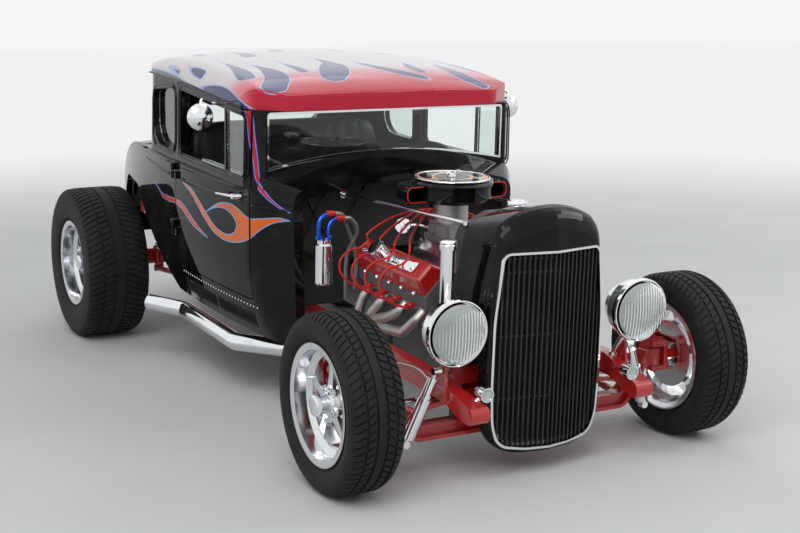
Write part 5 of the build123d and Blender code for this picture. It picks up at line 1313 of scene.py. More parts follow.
@dataclass
class BodyTrim:
    """Belt mouldings, window beads, rain rails and louvers of the body sides, with a row of chrome dots over
    the louvers that paints in the highlights on their tops.

    A belt is its height and its front end; a window is its corners in level y and z and their
    radius; its beads are how far they stand off the opening and their own radius.
    """

    stance: Stance
    belts: Rows = ((0.975, -1.690), (0.921, -1.815))
    bead: float = 0.0065
    door: tuple[float, float] = (-1.645, -0.895)
    joint: float = 0.006
    hinge_room: float = 0.040
    belt_end: float = -0.36
    belt_fall: float = 0.004
    belt_rise: float = 0.012
    end_taper: float = 12.0
    end_share: float = 0.35
    cab_foot: float = 0.985
    door_corner: float = 0.028
    door_window: Rows = ((-1615, 1030), (-929, 1030), (-929, 1298), (-1615, 1262))
    door_beads: Rows = ((0.006, 0.0040), (0.021, 0.0030))
    quarter_window: Rows = ((-854, 1025), (-564, 1031), (-564, 1266), (-854, 1301))
    quarter_corner: float = 0.055
    quarter_beads: Rows = ((0.005, 0.0040), (0.018, 0.0030))
    rail_radius: float = 0.0045
    rail_lift: float = 0.004
    rail_ends: tuple[float, float] = (-1.60, -0.52)
    louvers: int = 15
    louver_rows: Rows = ((-1.62, -1.30), (-1.26, -0.94))
    louver: tuple[float, float, float] = (0.0055, 0.008, 0.036)
    louver_z: float = 0.444
    louver_cut: float = 0.62 * pi
    louver_sunk: float = 0.0008
    # Chrome dots above the louvers: painted highlights that stand for the light caught on the louvers' tops,
    # not real rivets.
    highlight_dots: int = 34
    highlight_dot_row: tuple[float, float, float] = (-1.79, -0.93, 0.505)
    highlight_dot_profile: Rows = ((-2, 0), (-2, 4), (1, 4), (2.8, 2.6), (3.4, 0))

    def on_side(self, y: Array, z: Array, sign: float) -> Array:
        """Points on the body's side at level y and z, in the row frame."""
        x = np.where(z > self.cab_foot, SIDE.cab(y, z), SIDE.lower(y))
        return self.stance.body(np.stack([x, y, z], -1), sign)

    def line(self, piece: Piece, ys: tuple[float, float], zs: tuple[float, float], sign: float) -> None:
        """Add a half-round moulding between two places on the side, its ends drawn in.

        Args:
            piece: The piece that takes it.
            ys: Its ends' level y.
            zs: Its ends' heights.
            sign: -1 for the right side, 1 for the left.
        """
        t = np.linspace(0, 1, 40)
        path = self.on_side(ys[0] + (ys[1] - ys[0]) * t, zs[0] + (zs[1] - zs[0]) * t, sign)
        piece.bar(path, self.bead * np.clip(np.minimum(t, 1 - t) * self.end_taper, self.end_share, 1))

    def frame(self, piece: Piece, corners: Rows, corner: float, beads: Rows, sign: float) -> None:
        """Add the beads round a window.

        Args:
            piece: The piece that takes them.
            corners: The opening's corners in level y and z.
            corner: The corners' radius.
            beads: How far each bead stands off the opening, and its radius.
            sign: -1 for the right side, 1 for the left.
        """
        for by, radius in beads:
            y, z = grown(rounded(mm(*corners), corner), by).T
            piece.bar(self.on_side(y, z, sign), radius, 8, up=(sign, 0, 0), closed=True)

    def build(self) -> None:
        """Make the trim of both sides, on the bodies that carry it."""
        front, rear = self.door
        for side, sign in SIDES.items():
            fixed, door = Piece(f"body_mouldings_{side}"), Piece(f"door_mouldings_{side}")
            for z, start in self.belts:
                self.line(fixed, (start, front - self.joint), (z - self.belt_fall, z), sign)
                self.line(fixed, (rear + self.hinge_room, self.belt_end), (z, z + self.belt_rise), sign)
                self.line(door, (front + self.joint, rear - self.hinge_room), (z, z), sign)
            self.frame(door, self.door_window, self.door_corner, self.door_beads, sign)
            self.frame(fixed, self.quarter_window, self.quarter_corner, self.quarter_beads, sign)
            fixed.build("gloss_black", Finish.BLACK)
            door.build("gloss_black", Finish.BLACK, body=f"door_{side}")
            self.drip_rail(side)
            self.sill(side)

    def drip_rail(self, side: str) -> None:
        """Add the rain rail that runs along the roof's lower edge.

        Args:
            side: right or left.
        """
        piece = Piece(f"drip_rail_{side}")
        y = np.linspace(*self.rail_ends, 80)
        z = SIDE.drip(y) + self.rail_lift
        path = np.stack([SIDE.cab(y, z) + self.rail_radius, y, z], -1)
        piece.bar(self.stance.body(path, SIDES[side]), self.rail_radius, 8)
        piece.build("gloss_black", Finish.BLACK)

    def sill(self, side: str) -> None:
        """Add the louvers pressed in the lower side and a row of chrome dots above them, painted highlights
        for the light on the louvers' tops.

        A louver is half an ellipsoid, long upright and cut off flat at its rear.

        Args:
            side: right or left.
        """
        piece, sign = Piece(f"sill_louvers_{side}"), SIDES[side]
        u, v = np.linspace(-1, 1, 9)[:, None], np.linspace(0, 1, 6)[None]
        depth, width, half = self.louver
        swell = depth * np.sqrt(np.clip(1 - u**2, 0, 1)) * np.sin(v * self.louver_cut) / sin(self.louver_cut)
        z = self.louver_z + half * u + 0 * v
        for y0, y1 in self.louver_rows:
            for y in np.linspace(y0, y1, self.louvers):
                yy = y + width * (v - 0.5) + 0 * u
                x = SIDE.lower(yy) - SIDE.tuck(z) + swell - self.louver_sunk
                piece.grid(self.stance.body(np.stack([x, yy, z], -1), sign), flip=sign > 0)
        # Chrome dots that paint in the highlights on the louvers' tops.
        y0, y1, z = self.highlight_dot_row
        for y in np.linspace(y0, y1, self.highlight_dots):
            spot = self.stance.body((SIDE.lower(y) - SIDE.tuck(z), y, z), sign)
            piece.turning(mm(*self.highlight_dot_profile), 8, spot, (sign, 0, 0), finish=1)
        piece.build("gloss_black", Finish.BLACK, Finish.CHROME)


CRANK_Z = 0.520


def bank(d: Array, v: Array, y: Array) -> Array:
    """Points of the left cylinder bank.

    x is (d + v) / root 2 and z is the crank's height plus (d - v) / root 2.

    Args:
        d: How far out along the cylinders.
        v: How far across them, outward and down.
        y: Level y.

    Returns:
        Level points.
    """
    d, v, y = np.broadcast_arrays(np.asarray(d, float), v, y)
    return np.stack([(d + v) / 2**0.5, y, CRANK_Z + (d - v) / 2**0.5], -1)


@dataclass
class EngineDress:
    """Plug leads, boots, breathers, plates and bolts of the engine, and its air cleaner's trim.

    lead_end, breather_foot and bolt_rows are the bank's d and v. tower_angles holds the first
    lead's angle in degrees and the step to the next, and lead_crest the first one's height and
    the fall to the next.
    """

    stance: Stance
    lead_starts: tuple[float, ...] = (-2.010, -2.110, -2.218, -2.330)
    plugs: tuple[float, ...] = (-2.052, -2.160, -2.262, -2.372)
    lead_radius: float = 0.0042
    lead_out: tuple[float, ...] = (398, 404, 430, 432, 404, 352, 306, 290)
    lead_across: tuple[float, ...] = (-28, 12, 52, 98, 132, 140, 122, 98)
    lead_bow: float = 0.018
    boot: Rows = ((300, 114), (290, 96), (272, 72))
    boot_radius: float = 0.0105
    boot_rib: float = 0.0022
    distributor: tuple[float, ...] = (0.0, -2.006, 0.876)
    tower_ring: float = 0.028
    tower_angles: tuple[float, float] = (30, 38)
    lead_crest: tuple[float, float] = (0.905, 0.012)
    lead_end: tuple[float, float] = (0.399, -0.030)
    lead_rise: Rows = ((4, 0, 45), (0, 0, 30))
    lead_over: tuple[float, float] = (0.62, -0.01)
    plate: Rows = ((-2404, -25.5), (-2008, -25.5), (-2008, 19.5), (-2404, 19.5))
    plate_corner: float = 0.012
    plate_rings: Rows = ((0.3945, 0.0), (0.3965, 0.0), (0.3975, -0.0015))
    plate_top: float = 0.3976
    breather_y: float = -2.150
    breather: Rows = ((0, 0), (0, 32.5), (30, 32.5), (36, 34.5), (42, 34.5), (46, 32), (46.8, 0))
    breather_foot: tuple[float, float] = (0.392, -0.003)
    bolt_rows: Rows = ((0.328, 0.0645), (0.396, 0.009))
    bolt_ends: tuple[float, float] = (-2.395, -2.020)
    breather_room: float = 0.05
    bolt: Rows = ((-3, 0), (-3, 8), (4, 8), (6.5, 6), (7.5, 0))
    cleaner_y: float = -2.180
    lid_z: float = 1.080
    lid_radius: float = 0.141
    lid_bead: float = 0.0035
    lid_bead_z: float = 1.0795
    wing_z: float = 1.079
    wing_radius: float = 0.0032
    ring_radii: tuple[float, float] = (0.066, 0.1365)
    ring_lift: float = 0.00155
    ovals: int = 3
    oval_half_turn: float = 0.88
    oval_phase: float = 0.35
    oval_middle: float = 0.1015
    oval_half_band: float = 0.0260
    oval_fade: tuple[float, float, float] = (0.002, 0.022, -0.004)
    lid_nut: Rows = ((0, 0), (0, 20), (4, 20), (6, 13), (16, 10), (18, 0))
    wing: Rows = ((6, 0, 13), (16, 0, 19), (26, 0, 24), (31, 0, 19), (25, 0, 14))
    advance: Rows = ((-50, 0), (-50, 12), (-2, 12), (-2, 30), (3, 31), (6, 29), (7, 10), (14, 8), (15, 0))
    advance_place: tuple[float, float, float] = (-0.118, -2.020, 0.872)
    advance_axis: tuple[float, float, float] = (-0.5, -0.85, 0.1)
    pipe_radius: float = 0.008
    advance_pipe: Rows = ((-110, -2012, 872), (-60, -2050, 874), (-45, -2115, 874))
    mouth: Rows = ((98, 1000), (214, 1000), (214, 1056), (98, 1056))
    mouth_corner: float = 0.022
    mouth_y: float = -2.2235
    lip_radius: float = 0.0024

    def bank_way(self, d: float, v: float, sign: float) -> Array:
        """A bank's direction d out along the cylinders and v across them, in the row frame."""
        return self.stance.body(bank(d, v, 0.0), sign) - self.stance.body(bank(0.0, 0.0, 0.0))

    def leads(self, side: str) -> None:
        """Add the leads of one bank: out over the cover, round and back to the plugs.

        Args:
            side: right or left.
        """
        piece, sign = Piece(f"plug_leads_{side}"), SIDES[side]
        bow = self.lead_bow * np.sin(np.linspace(0, pi, 8))
        for y0, y1 in zip(self.lead_starts, self.plugs):
            y = y0 + (y1 - y0) * np.linspace(0, 1, 8)**1.5 + bow
            path = smooth_path(bank(mm(*self.lead_out), mm(*self.lead_across), y), 40)
            piece.bar(self.stance.body(path, sign), self.lead_radius)
            boot = smooth_path(bank(*mm(*self.boot).T, y1), 12)
            swell = self.boot_radius + self.boot_rib * np.cos(np.linspace(0, 5 * pi, 12))
            piece.bar(self.stance.body(boot, sign), swell, 12)
        for k, y0 in enumerate(self.lead_starts):
            turn = radians(self.tower_angles[1] * k + self.tower_angles[0])
            foot = self.distributor + self.tower_ring * np.array([cos(turn), sin(turn), 0.0])
            end = bank(*self.lead_end, y0)
            (share, shift), (crest, fall), rise = self.lead_over, self.lead_crest, mm(*self.lead_rise)
            over = (share * end[0], (foot[1] + end[1]) / 2 + shift, crest - fall * k)
            path = smooth_path([foot, foot + rise[0], over, end + rise[1], end], 34)
            piece.bar(self.stance.body(path, sign), self.lead_radius)
        piece.build("frame_red", Finish.RED_RUBBER, sharp=70.0)

    def cover(self, piece: Piece, sign: float) -> None:
        """Add one valve cover's plate, breather cap and bolts.

        Args:
            piece: The piece that takes them.
            sign: -1 for the right bank, 1 for the left.
        """
        flat = rounded(mm(*self.plate), self.plate_corner)
        rings = [bank(d, *grown(flat, by).T[::-1]) for d, by in self.plate_rings]
        y, v = flat.mean(0)
        middle = np.broadcast_to(bank(self.plate_top, v, y), rings[0].shape)
        piece.grid(self.stance.body(np.stack(rings + [middle], 1), sign), round_u=True, flip=sign > 0)
        up, across = self.bank_way(1.0, 0.0, sign), self.bank_way(0.3, 1.0, sign)
        foot = self.stance.body(bank(*self.breather_foot, self.breather_y), sign)
        piece.turning(mm(*self.breather), 36, foot, up)
        lower, upper = self.bolt_rows
        for y in np.linspace(*self.bolt_ends, 5):
            piece.turning(mm(*self.bolt), 6, self.stance.body(bank(*lower, y), sign), across)
            if abs(y - self.breather_y) > self.breather_room:
                piece.turning(mm(*self.bolt), 6, self.stance.body(bank(*upper, y), sign), up)

    def bright(self) -> None:
        """Add the chrome of both covers, of the air cleaner's lid and of the distributor's side."""
        piece = Piece("engine_bright_parts")
        for sign in SIDES.values():
            self.cover(piece, sign)
        a, y = turns(90), self.cleaner_y
        rim = np.stack([self.lid_radius * np.cos(a), y + self.lid_radius * np.sin(a),
                        self.lid_bead_z + 0 * a], -1)
        piece.bar(self.stance.body(rim), self.lid_bead, closed=True)
        piece.turning(mm(*self.lid_nut), 24, self.stance.body((0, y, self.lid_z)), self.stance.way(0, 0, 1))
        for sign in SIDES.values():
            wing = smooth_path(mm(*self.wing) + [0, y, self.wing_z], 14)
            piece.bar(self.stance.body(wing, sign), self.wing_radius, 8)
        piece.turning(mm(*self.advance), 30, self.stance.body(self.advance_place), self.advance_axis)
        piece.bar(self.stance.body(mm(*self.advance_pipe)), self.pipe_radius, 12)
        piece.build("chrome", Finish.CHROME)

    def lid_flames(self) -> None:
        """Add the flame-coloured ring painted on the air cleaner's lid, its dark ovals left open.

        The ring is a flat band between two radii; each oval is an ellipse round the band.
        """
        piece = Piece("lid_flame_ring")
        a, r = np.meshgrid(turns(240), np.linspace(*self.ring_radii, 16), indexing="ij")
        turn = (a * self.ovals / (2 * pi) + self.oval_phase) % 1.0 - 0.5
        oval = np.hypot(turn * 2 * pi / self.ovals / self.oval_half_turn,
                        (r - self.oval_middle) / self.oval_half_band) - 1
        start, slope, deepest = self.oval_fade
        gap = np.maximum(start - oval * slope, deepest)
        points = np.stack([r * np.cos(a), self.cleaner_y + r * np.sin(a),
                           self.lid_z + self.ring_lift + 0 * a], -1)
        piece.grid(self.stance.body(points), round_u=True, edge=gap)
        piece.build("flamed_roof", Finish.LID_FLAME, sharp=60.0)

    def mouths(self) -> None:
        """Add the flame-red lips round the air cleaner's two side mouths."""
        piece = Piece("snorkel_lips")
        x, z = rounded(mm(*self.mouth), self.mouth_corner).T
        for sign in SIDES.values():
            path = self.stance.body(np.stack([x, self.mouth_y + 0 * x, z], -1), sign)
            piece.bar(path, self.lip_radius, 8, up=(0, 1, 0), closed=True)
        piece.build("flamed_roof", Finish.RED_RUBBER, sharp=70.0)

    def build(self) -> None:
        """Make all of it."""
        for side in SIDES:
            self.leads(side)
        self.bright()
        self.lid_flames()
        self.mouths()


@dataclass
class LampDress:
    """Fluted headlamp lenses over bowls, and ringed domes on the tail and signal lamps."""

    stance: Stance
    headlamp: tuple[float, float, float] = (0.376, -2.8805, 0.688)
    headlamp_radius: float = 0.1015
    rise: float = 0.013
    bowl_rim: float = 0.0065
    bowl_depth: float = 0.010
    bowl_share: float = 0.985
    flutes: int = 34
    flute_depth: float = 0.0011
    flute_fade: float = 9.0
    tail: tuple[float, float, float] = (0.250, 0.634, 0.462)
    tail_radius: float = 0.0355
    signal: tuple[float, float, float] = (0.299, -2.9395, 0.488)
    signal_radius: float = 0.0205
    dome_height: float = 0.24
    dome_ripple: float = 0.02
    dome_rings: int = 9
    dome_back: float = -0.004

    def front(self, faces: Piece, bowls: Piece, sign: float) -> None:
        """Add one headlamp's lens and bowl.

        The lens is a shallow dome of squared fall-off with a ripple across it, so that its
        face carries upright flutes; the bowl is a paraboloid behind it.

        Args:
            faces: The piece that takes the lens.
            bowls: The piece that takes the bowl.
            sign: -1 for the right side, 1 for the left.
        """
        a, share = turns(120)[:, None], np.linspace(0, 1, 44)[None]
        x, z = self.headlamp_radius * share * np.cos(a), self.headlamp_radius * share * np.sin(a)
        middle = np.array(self.headlamp) * [sign, 1, 1]
        ripple = self.flute_depth * np.cos(x / self.headlamp_radius * pi * self.flutes / 2)
        lens = -self.rise * (1 - share**2) - ripple * np.clip((1 - share) * self.flute_fade, 0, 1)
        faces.grid(self.stance.body(middle + np.stack([x, lens, z], -1)), round_u=True)
        bowl = self.bowl_rim - self.bowl_depth * (1 - share**2) + 0 * x
        bowl = np.stack([self.bowl_share * x, bowl, self.bowl_share * z], -1)
        bowls.grid(self.stance.body(middle + bowl), round_u=True)

    def dome(self, piece: Piece, place: tuple[float, float, float], radius: float, sign: float,
             facing: float, finish: int) -> None:
        """Add a dome of squared fall-off whose height ripples with its radius.

        Args:
            piece: The piece that takes it.
            place: The left lamp's front.
            radius: The dome's radius.
            sign: -1 for the right side, 1 for the left.
            facing: 1 to look aft, -1 to look forward.
            finish: The index of its material.
        """
        share = np.linspace(1, 0, 26)
        ripple = self.dome_ripple * (1 + np.cos(share * self.dome_rings * pi))
        height = radius * (self.dome_height * (1 - share**2) + ripple)
        back = [(self.dome_back, 0.0), (self.dome_back, radius)]
        profile = np.concatenate([back, np.stack([height, radius * share], -1)])
        axis = self.stance.way(0.0, facing, 0.0)
        piece.turning(profile, 48, self.stance.body(place, sign), axis, finish=finish)

    def build(self) -> None:
        """Make the lamps' faces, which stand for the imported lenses, and the bowls."""
        faces, bowls = Piece("lamp_faces"), Piece("headlamp_bowls")
        for sign in SIDES.values():
            self.front(faces, bowls, sign)
            self.dome(faces, self.tail, self.tail_radius, sign, 1.0, 1)
            self.dome(faces, self.signal, self.signal_radius, sign, -1.0, 0)
        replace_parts(faces.build("lens", Finish.LENS_FACE, Finish.TAIL, sharp=80.0), "lamp_lenses")
        bowls.build("chrome", Finish.BOWL, sharp=80.0)


@dataclass
class GrilleScreen:
    """A dark stone screen behind the grille's bars, woven fine enough to look solid."""

    stance: Stance
    back: float = -2.850
    rise: float = 0.040
    rise_at: float = 0.216
    sizes: Rows = ((268, 150), (340, 206), (480, 214), (700, 212), (924, 186))

    def build(self) -> None:
        """Lay a sheet with the shell's shallow V behind the bars, as a grid in x and height.

        Its half width at each height follows the opening: widest at mid height, drawn in at
        the foot and the top.
        """
        heights, halves = mm(*self.sizes).T
        z = np.linspace(heights[0], heights[-1], 60)[:, None]
        x = np.interp(z, heights, halves) * np.linspace(-1, 1, 61)[None]
        y = self.back + self.rise * np.abs(x) / self.rise_at
        piece = Piece("grille_screen")
        piece.grid(self.stance.body(np.stack([x, y, z + 0 * x], -1)))
        piece.build("black_steel", Finish.SCREEN, sharp=60.0)


@dataclass
class BayDress:
    """The canister's elbows and hoses, the firewall's braces, filler caps and brake lines.

    A hose's row is how far its elbow is off the canister's middle, how far it rises, and where
    the hose ends. The elbow, collar and hose go on from there. A brace's row is its ends' x and z.
    """

    stance: Stance
    canister: tuple[float, float, float] = (-0.390, -1.884, 0.815)
    hoses: Rows = ((-20, 60, -168, -1716, 560), (20, 40, -210, -1716, 520))
    elbow: Rows = ((0, 0, 0), (0, 0, 0), (16, 4, 26), (46, 10, 34))
    elbow_radius: float = 0.0105
    collar: Rows = ((-10, 0, 0), (10, 2, 0), (26, 6, -2))
    collar_radius: float = 0.0130
    route: Rows = ((20, 5, -1), (75, 40, -16), (125, 85, -80))
    drop: tuple[float, float, float] = (-0.006, -0.020, 0.700)
    hose_radius: float = 0.0100
    weave: float = 0.00045
    elbow_nut: Rows = ((0, 0), (0, 15.5), (12, 15.5), (14, 13), (14, 0))
    braces: Rows = ((385, 790, 290, 985), (300, 800, 390, 960), (120, 985, 205, 850))
    brace_radius: float = 0.0045
    firewall: float = -1.7085
    radiator_cap_at: tuple[float, float, float] = (0.0, -2.620, 1.050)
    oil_cap_at: tuple[float, float, float] = (-0.334, -2.716, 0.950)
    line_radius: float = 0.0034
    radiator_cap: Rows = ((-4, 0), (-4, 36), (4, 38), (10, 36), (12, 26), (16, 24), (18, 0))
    oil_cap: Rows = ((-4, 0), (-4, 26.2), (3, 28.5), (6, 27), (10, 28.5), (14, 27), (17, 21), (18, 0))
    brake_line: Rows = ((376, -2200, 482), (378, -2400, 470), (379, -2520, 490), (381, -2620, 500),
                        (379, -2700, 482), (377, -2800, 476))

    def canister_hoses(self) -> None:
        """Make the canister's two elbows with their nuts, collars and braided hoses."""
        elbows, hoses, collars = (Piece(f"canister_{kind}") for kind in ("elbows", "hoses", "collars"))
        level = self.stance.body
        for shift, lift, x, y, z in mm(*self.hoses):
            foot = self.canister + np.array([shift, 0, 0])
            bend = foot + mm(*self.elbow)
            bend[1:, 2] += lift
            bend = smooth_path(bend, 22)
            elbows.bar(level(bend), self.elbow_radius, 14)
            elbows.turning(mm(*self.elbow_nut), 6, level(foot), self.stance.way(0, 0, 1))
            collar = smooth_path(bend[-1] + mm(*self.collar), 10)
            collars.bar(level(collar), self.collar_radius, 14)
            near = (x + self.drop[0], y + self.drop[1], self.drop[2])
            route = smooth_path([*(bend[-1] + mm(*self.route)), near, (x, y, z)], 90)
            hoses.bar(level(route), self.hose_radius + self.weave * np.cos(np.arange(90) * pi), 14)
        elbows.build("bare_steel", Finish.BLUE)
        collars.build("frame_red", Finish.RED_RUBBER)
        hoses.build("bare_steel", Finish.BRAID, sharp=70.0)

    def build(self) -> None:
        """Make the hoses, the firewall's braces, the filler caps and the brake lines."""
        self.canister_hoses()
        braces, caps, lines = Piece("firewall_braces"), Piece("filler_caps"), Piece("brake_line")
        for sign in SIDES.values():
            for x0, z0, x1, z1 in self.braces:
                ends = mm((x0, 0, z0), (x1, 0, z1)) + [0, self.firewall, 0]
                path = ends[0] + (ends[1] - ends[0]) * np.linspace(0, 1, 8)[:, None]
                braces.bar(self.stance.body(path, sign), self.brace_radius, 8)
            line = smooth_path(mm(*self.brake_line), 60)
            lines.bar(self.stance.body(line, sign), self.line_radius, 8)
        braces.build("gloss_black", Finish.BLACK)
        up = self.stance.way(0, 0, 1)
        caps.turning(mm(*self.radiator_cap), 24, self.stance.body(self.radiator_cap_at), up)
        caps.turning(mm(*self.oil_cap), 30, self.stance.body(self.oil_cap_at), up)
        caps.build("chrome", Finish.CHROME)
        lines.build("bare_steel", Finish.STEEL)


def power(value: Array, exponent: float) -> Array:
    """Raise the size to a power and keep the sign."""
    return np.sign(value) * np.abs(value)**exponent


@dataclass
class Seat:
    """The pleated bench: a cushion and a back, each a crowned closed form with sewn channels."""

    stance: Stance
    pleats: int = 13
    tuck: float = 0.007
    corner_power: float = 0.30
    rim_power: float = 0.32
    edge_power: float = 0.55
    waist: float = 0.02
    crown: float = 0.14
    side_from: float = 0.9
    face_fade: tuple[float, float] = (0.5, 3.0)
    end_fade: tuple[float, float] = (0.96, 12.0)
    cushion: Rows = ((-438, -1208, 520), (438, -762, 698))
    back: Rows = ((-468, -770, 600), (468, -640, 1125))
    back_lean: float = 0.055

    def pad(self, name: str, low: Array, high: Array, face: int, lean: float) -> bpy.types.Object:
        """Make one pad between two level corners.

        The pad is a rounded box: a superellipse across the face and another through its
        thickness. Its faces crown outwards and fall in at each pleat as the fourth power of a
        cosine, and its sides pull in between the corners.

        Args:
            name: The piece's name.
            low: Its lowest corner.
            high: Its highest corner.
            face: Which axis the pleated face looks along, 2 for up or 1 for forward.
            lean: How far the top leans back.

        Returns:
            The pad.
        """
        middle, half = (high + low) / 2, (high - low) / 2
        u, v = turns(208)[:, None], np.linspace(-pi / 2, pi / 2, 40)[None]
        size = power(np.cos(v), self.rim_power)
        across, deep = (power(wave(u), self.corner_power) * size for wave in (np.cos, np.sin))
        thick = power(np.sin(v), self.edge_power) + 0 * u
        pull = 1 - self.waist * np.cos(across * pi / 2) * (np.abs(deep) > self.side_from)
        channel = self.tuck * np.cos(across * self.pleats * pi / 2)**4
        (face_from, face_slope), (end, end_slope) = self.face_fade, self.end_fade
        flat = np.clip((np.abs(thick) - face_from) * face_slope, 0, 1)
        flat = flat * np.clip((end - np.abs(deep)) * end_slope, 0, 1)
        crown = 1 - self.crown * (1 - np.sqrt(np.cos(across * pi / 2) * np.cos(deep * pi / 2)))
        grid = np.empty(across.shape + (3,))
        grid[..., 0] = middle[0] + half[0] * across
        grid[..., 3 - face] = middle[3 - face] + half[3 - face] * deep * pull
        grid[..., face] = middle[face] + half[face] * thick * crown - np.sign(thick) * channel * flat
        grid[..., 1] += lean * (grid[..., 2] - low[2]) / (high[2] - low[2])
        piece = Piece(name)
        piece.grid(self.stance.body(grid), round_u=True, flip=face == 1)
        thing = piece.build("seat", Finish.SEAT, sharp=180.0)
        return thing

    def build(self) -> None:
        """Make both pads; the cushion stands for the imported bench."""
        cushion = self.pad("bench_cushion", *mm(*self.cushion), 2, 0.0)
        self.pad("bench_back", *mm(*self.back), 1, self.back_lean)
        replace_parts(cushion, "bench_seat")


@dataclass
class CabinDress:
    """Round gauges on the dashboard, each at an x and of a radius."""

    stance: Stance
    gauges: Rows = ((225, 50), (350, 50), (445, 28), (130, 28), (-20, 28), (-110, 28))
    y: float = -1.548
    z: float = 0.968
    rim: Rows = ((-0.002, 0.0), (-0.002, 1.0), (0.004, 1.0), (0.006, 0.93), (0.003, 0.86), (0.003, 0.0))
    dial: Rows = ((0.0036, 0.0), (0.0036, 0.85), (0.0040, 0.84), (0.0040, 0.0))

    def build(self) -> None:
        """Make each gauge's bright rim and pale dial; the profiles' radii are shares of its own."""
        rims, dials = Piece("gauge_rims"), Piece("gauge_dials")
        for x, r in mm(*self.gauges):
            for piece, profile in ((rims, self.rim), (dials, self.dial)):
                spot = self.stance.body((x, self.y, self.z))
                piece.turning(np.array(profile) * [1, r], 40, spot, self.stance.way(0, 1, 0))
        rims.build("chrome", Finish.CHROME)
        dials.build("gloss_black", Finish.DIAL)


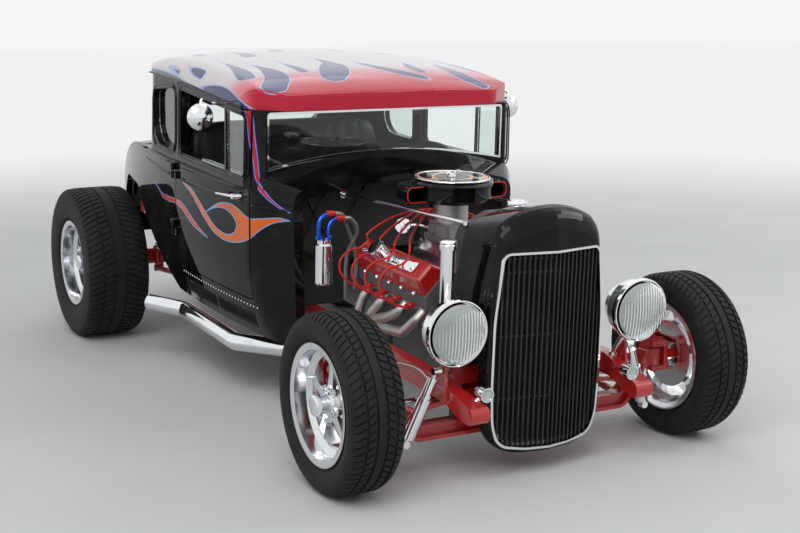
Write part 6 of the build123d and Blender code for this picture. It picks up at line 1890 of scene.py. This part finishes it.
@dataclass
class Studio:
    """A pale floor, soft light and the photograph's viewpoint.

    A lamp is its name, where it hangs, the panel's sides and its power in watts.
    """

    axle_y: float
    eye: tuple[float, float, float] = (-2.663, -6.629955, 1.559)
    yaw: float = -28.92
    pitch: float = 10.3
    roll: float = 0.07
    lens: float = 62.03
    floor_size: float = 120.0
    floor_fade: tuple[float, float] = (3.0, 11.0)
    lamps: tuple = (("key", (-4.5, -5.5, 7.0), (6.0, 6.0), 340.0),
                    ("fill", (6.0, -3.0, 4.5), (4.0, 3.0), 110.0),
                    ("back", (3.5, 3.0, 8.0), (8.0, 7.0), 90.0))
    target: tuple[float, float, float] = (0.0, 0.0, 0.6)
    room_color: Color = (0.90, 0.91, 0.92, 1.0)
    fill_color: Color = (0.86, 0.90, 0.96, 1.0)
    fill_strength: float = 0.45
    far_glow: float = 0.97
    floor_noise: tuple[float, float] = (1.3, 3.0)
    floor_range: tuple[float, float] = (0.2, 0.8)
    floor_colors: tuple[Color, Color] = (rgb(0.70, 0.70, 0.69), rgb(0.74, 0.74, 0.73))
    floor_rough: float = 0.8

    def put(self, name: str, data: bpy.types.ID) -> bpy.types.Object:
        """Put an object in the scene.

        Args:
            name: The object's name.
            data: What it shows.

        Returns:
            The object.
        """
        thing = bpy.data.objects.new(name, data)
        bpy.context.scene.collection.objects.link(thing)
        return thing

    def camera(self) -> None:
        """Stand the camera where the photograph was taken."""
        data = bpy.data.cameras.new("camera")
        data.lens = self.lens
        data.sensor_width = 36.0
        data.clip_end = 200.0
        camera = self.put("camera", data)
        camera.location = (self.eye[0], self.axle_y + self.eye[1], self.eye[2])
        camera.rotation_euler = (radians(90 - self.pitch), radians(self.roll), radians(self.yaw))
        bpy.context.scene.camera = camera

    def floor(self) -> None:
        """Lay the pale floor, which fades to the room's colour far from the car."""
        h = self.floor_size / 2
        mesh = bpy.data.meshes.new("floor")
        mesh.from_pydata([(-h, -h, 0), (h, -h, 0), (h, h, 0), (-h, h, 0)], [], [(0, 1, 2, 3)])
        s = Shader("studio_floor")
        grey = s.noise(*self.floor_noise).over(*self.floor_range)
        s.done(Base_Color=s.blend(grey, *self.floor_colors), Roughness=self.floor_rough)
        x, y = s.axis("X"), s.axis("Y")
        far = (x * x + y * y).math("POWER", 0.5).over(*self.floor_fade)
        glow = s.node("ShaderNodeEmission", {0: self.room_color, 1: self.far_glow})
        mixed = s.node("ShaderNodeMixShader", {0: far * s.seen(), 1: s.surface.outputs[0], 2: glow})
        s.feed(s.output.inputs[0], mixed)
        mesh.materials.append(s.material)
        self.put("floor", mesh)

    def lamp(self, name: str, place: tuple[float, float, float], size: tuple[float, float],
             watts: float) -> None:
        """Hang one soft panel lamp, aimed at the car's middle.

        Args:
            name: The lamp's name.
            place: Where it hangs.
            size: The panel's sides.
            watts: Its power.
        """
        data = bpy.data.lights.new(name, "AREA")
        data.shape = "RECTANGLE"
        data.size, data.size_y = size
        data.energy = watts
        lamp = self.put(name, data)
        lamp.location = place
        way = Vector(self.target) - Vector(place)
        lamp.rotation_euler = way.to_track_quat("-Z", "Y").to_euler()

    def world(self) -> None:
        """Fill the room with even light; the camera and reflections see a paler room."""
        world = bpy.data.worlds.new("room")
        bpy.context.scene.world = world
        world.use_nodes = True
        room = Nodes(world.node_tree, "ShaderNodeOutputWorld")
        plain = room.node("ShaderNodeBackground", {0: self.fill_color, 1: self.fill_strength})
        pale = room.node("ShaderNodeBackground", {0: self.room_color, 1: 1.0})
        mixed = room.node("ShaderNodeMixShader", {0: room.seen(), 1: plain, 2: pale})
        room.feed(room.output.inputs[0], mixed)

    def build(self) -> None:
        """Set up the whole studio."""
        bpy.context.scene.view_settings.view_transform = "Standard"
        self.camera()
        self.floor()
        self.world()
        for lamp in self.lamps:
            self.lamp(*lamp)


class Axle(Enum):
    """Each axle's tread blocks, tyre width, rim width and how far out its wheels' faces are."""

    FRONT = (70, 0.196, 0.172, 0.034)
    REAR = (76, 0.298, 0.266, 0.040)


def build_wheels() -> None:
    """Make every tyre and its wheel's bright parts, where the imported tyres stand."""
    for axle in Axle:
        end = axle.name.lower()
        blocks, width, rim_width, face = axle.value
        for side in ("left", "right"):
            low, high = (np.array(corner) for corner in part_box(f"tyre_{end}_{side}"))
            middle, body, sign = (low + high) / 2, f"{end}_wheel_{side}", SIDES[side]
            radius = (high - low)[2] / 2
            Tyre(f"tyre_{end}_{side}", body, middle, radius, width, rim_width, blocks, sign).build()
            WheelDress(f"wheel_{end}_{side}", body, middle, face, sign).build()


def main() -> None:
    """Build the car's looks in order and report each piece."""
    logging.basicConfig(level=logging.INFO, format="%(name)s %(message)s")
    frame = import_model()
    joints = {joint["name"]: joint for joint in frame["joints"]}
    axle = joints["rear_left_spin"]["pos_m"]
    stance = Stance(axle[1], axle[2])
    LOG.info("rear axle at %s", stance)
    dress_nodes(frame["nodes"])
    Studio(stance.axle_y).build()
    RoofFlames(stance, frame["nodes"]["roof_panel"]).build()
    SideFlames(stance, frame["nodes"]).build()
    build_wheels()
    for part in (BodyTrim, EngineDress, LampDress, GrilleScreen, BayDress, Seat, CabinDress):
        part(stance).build()


if __name__ == "__main__":
    main()
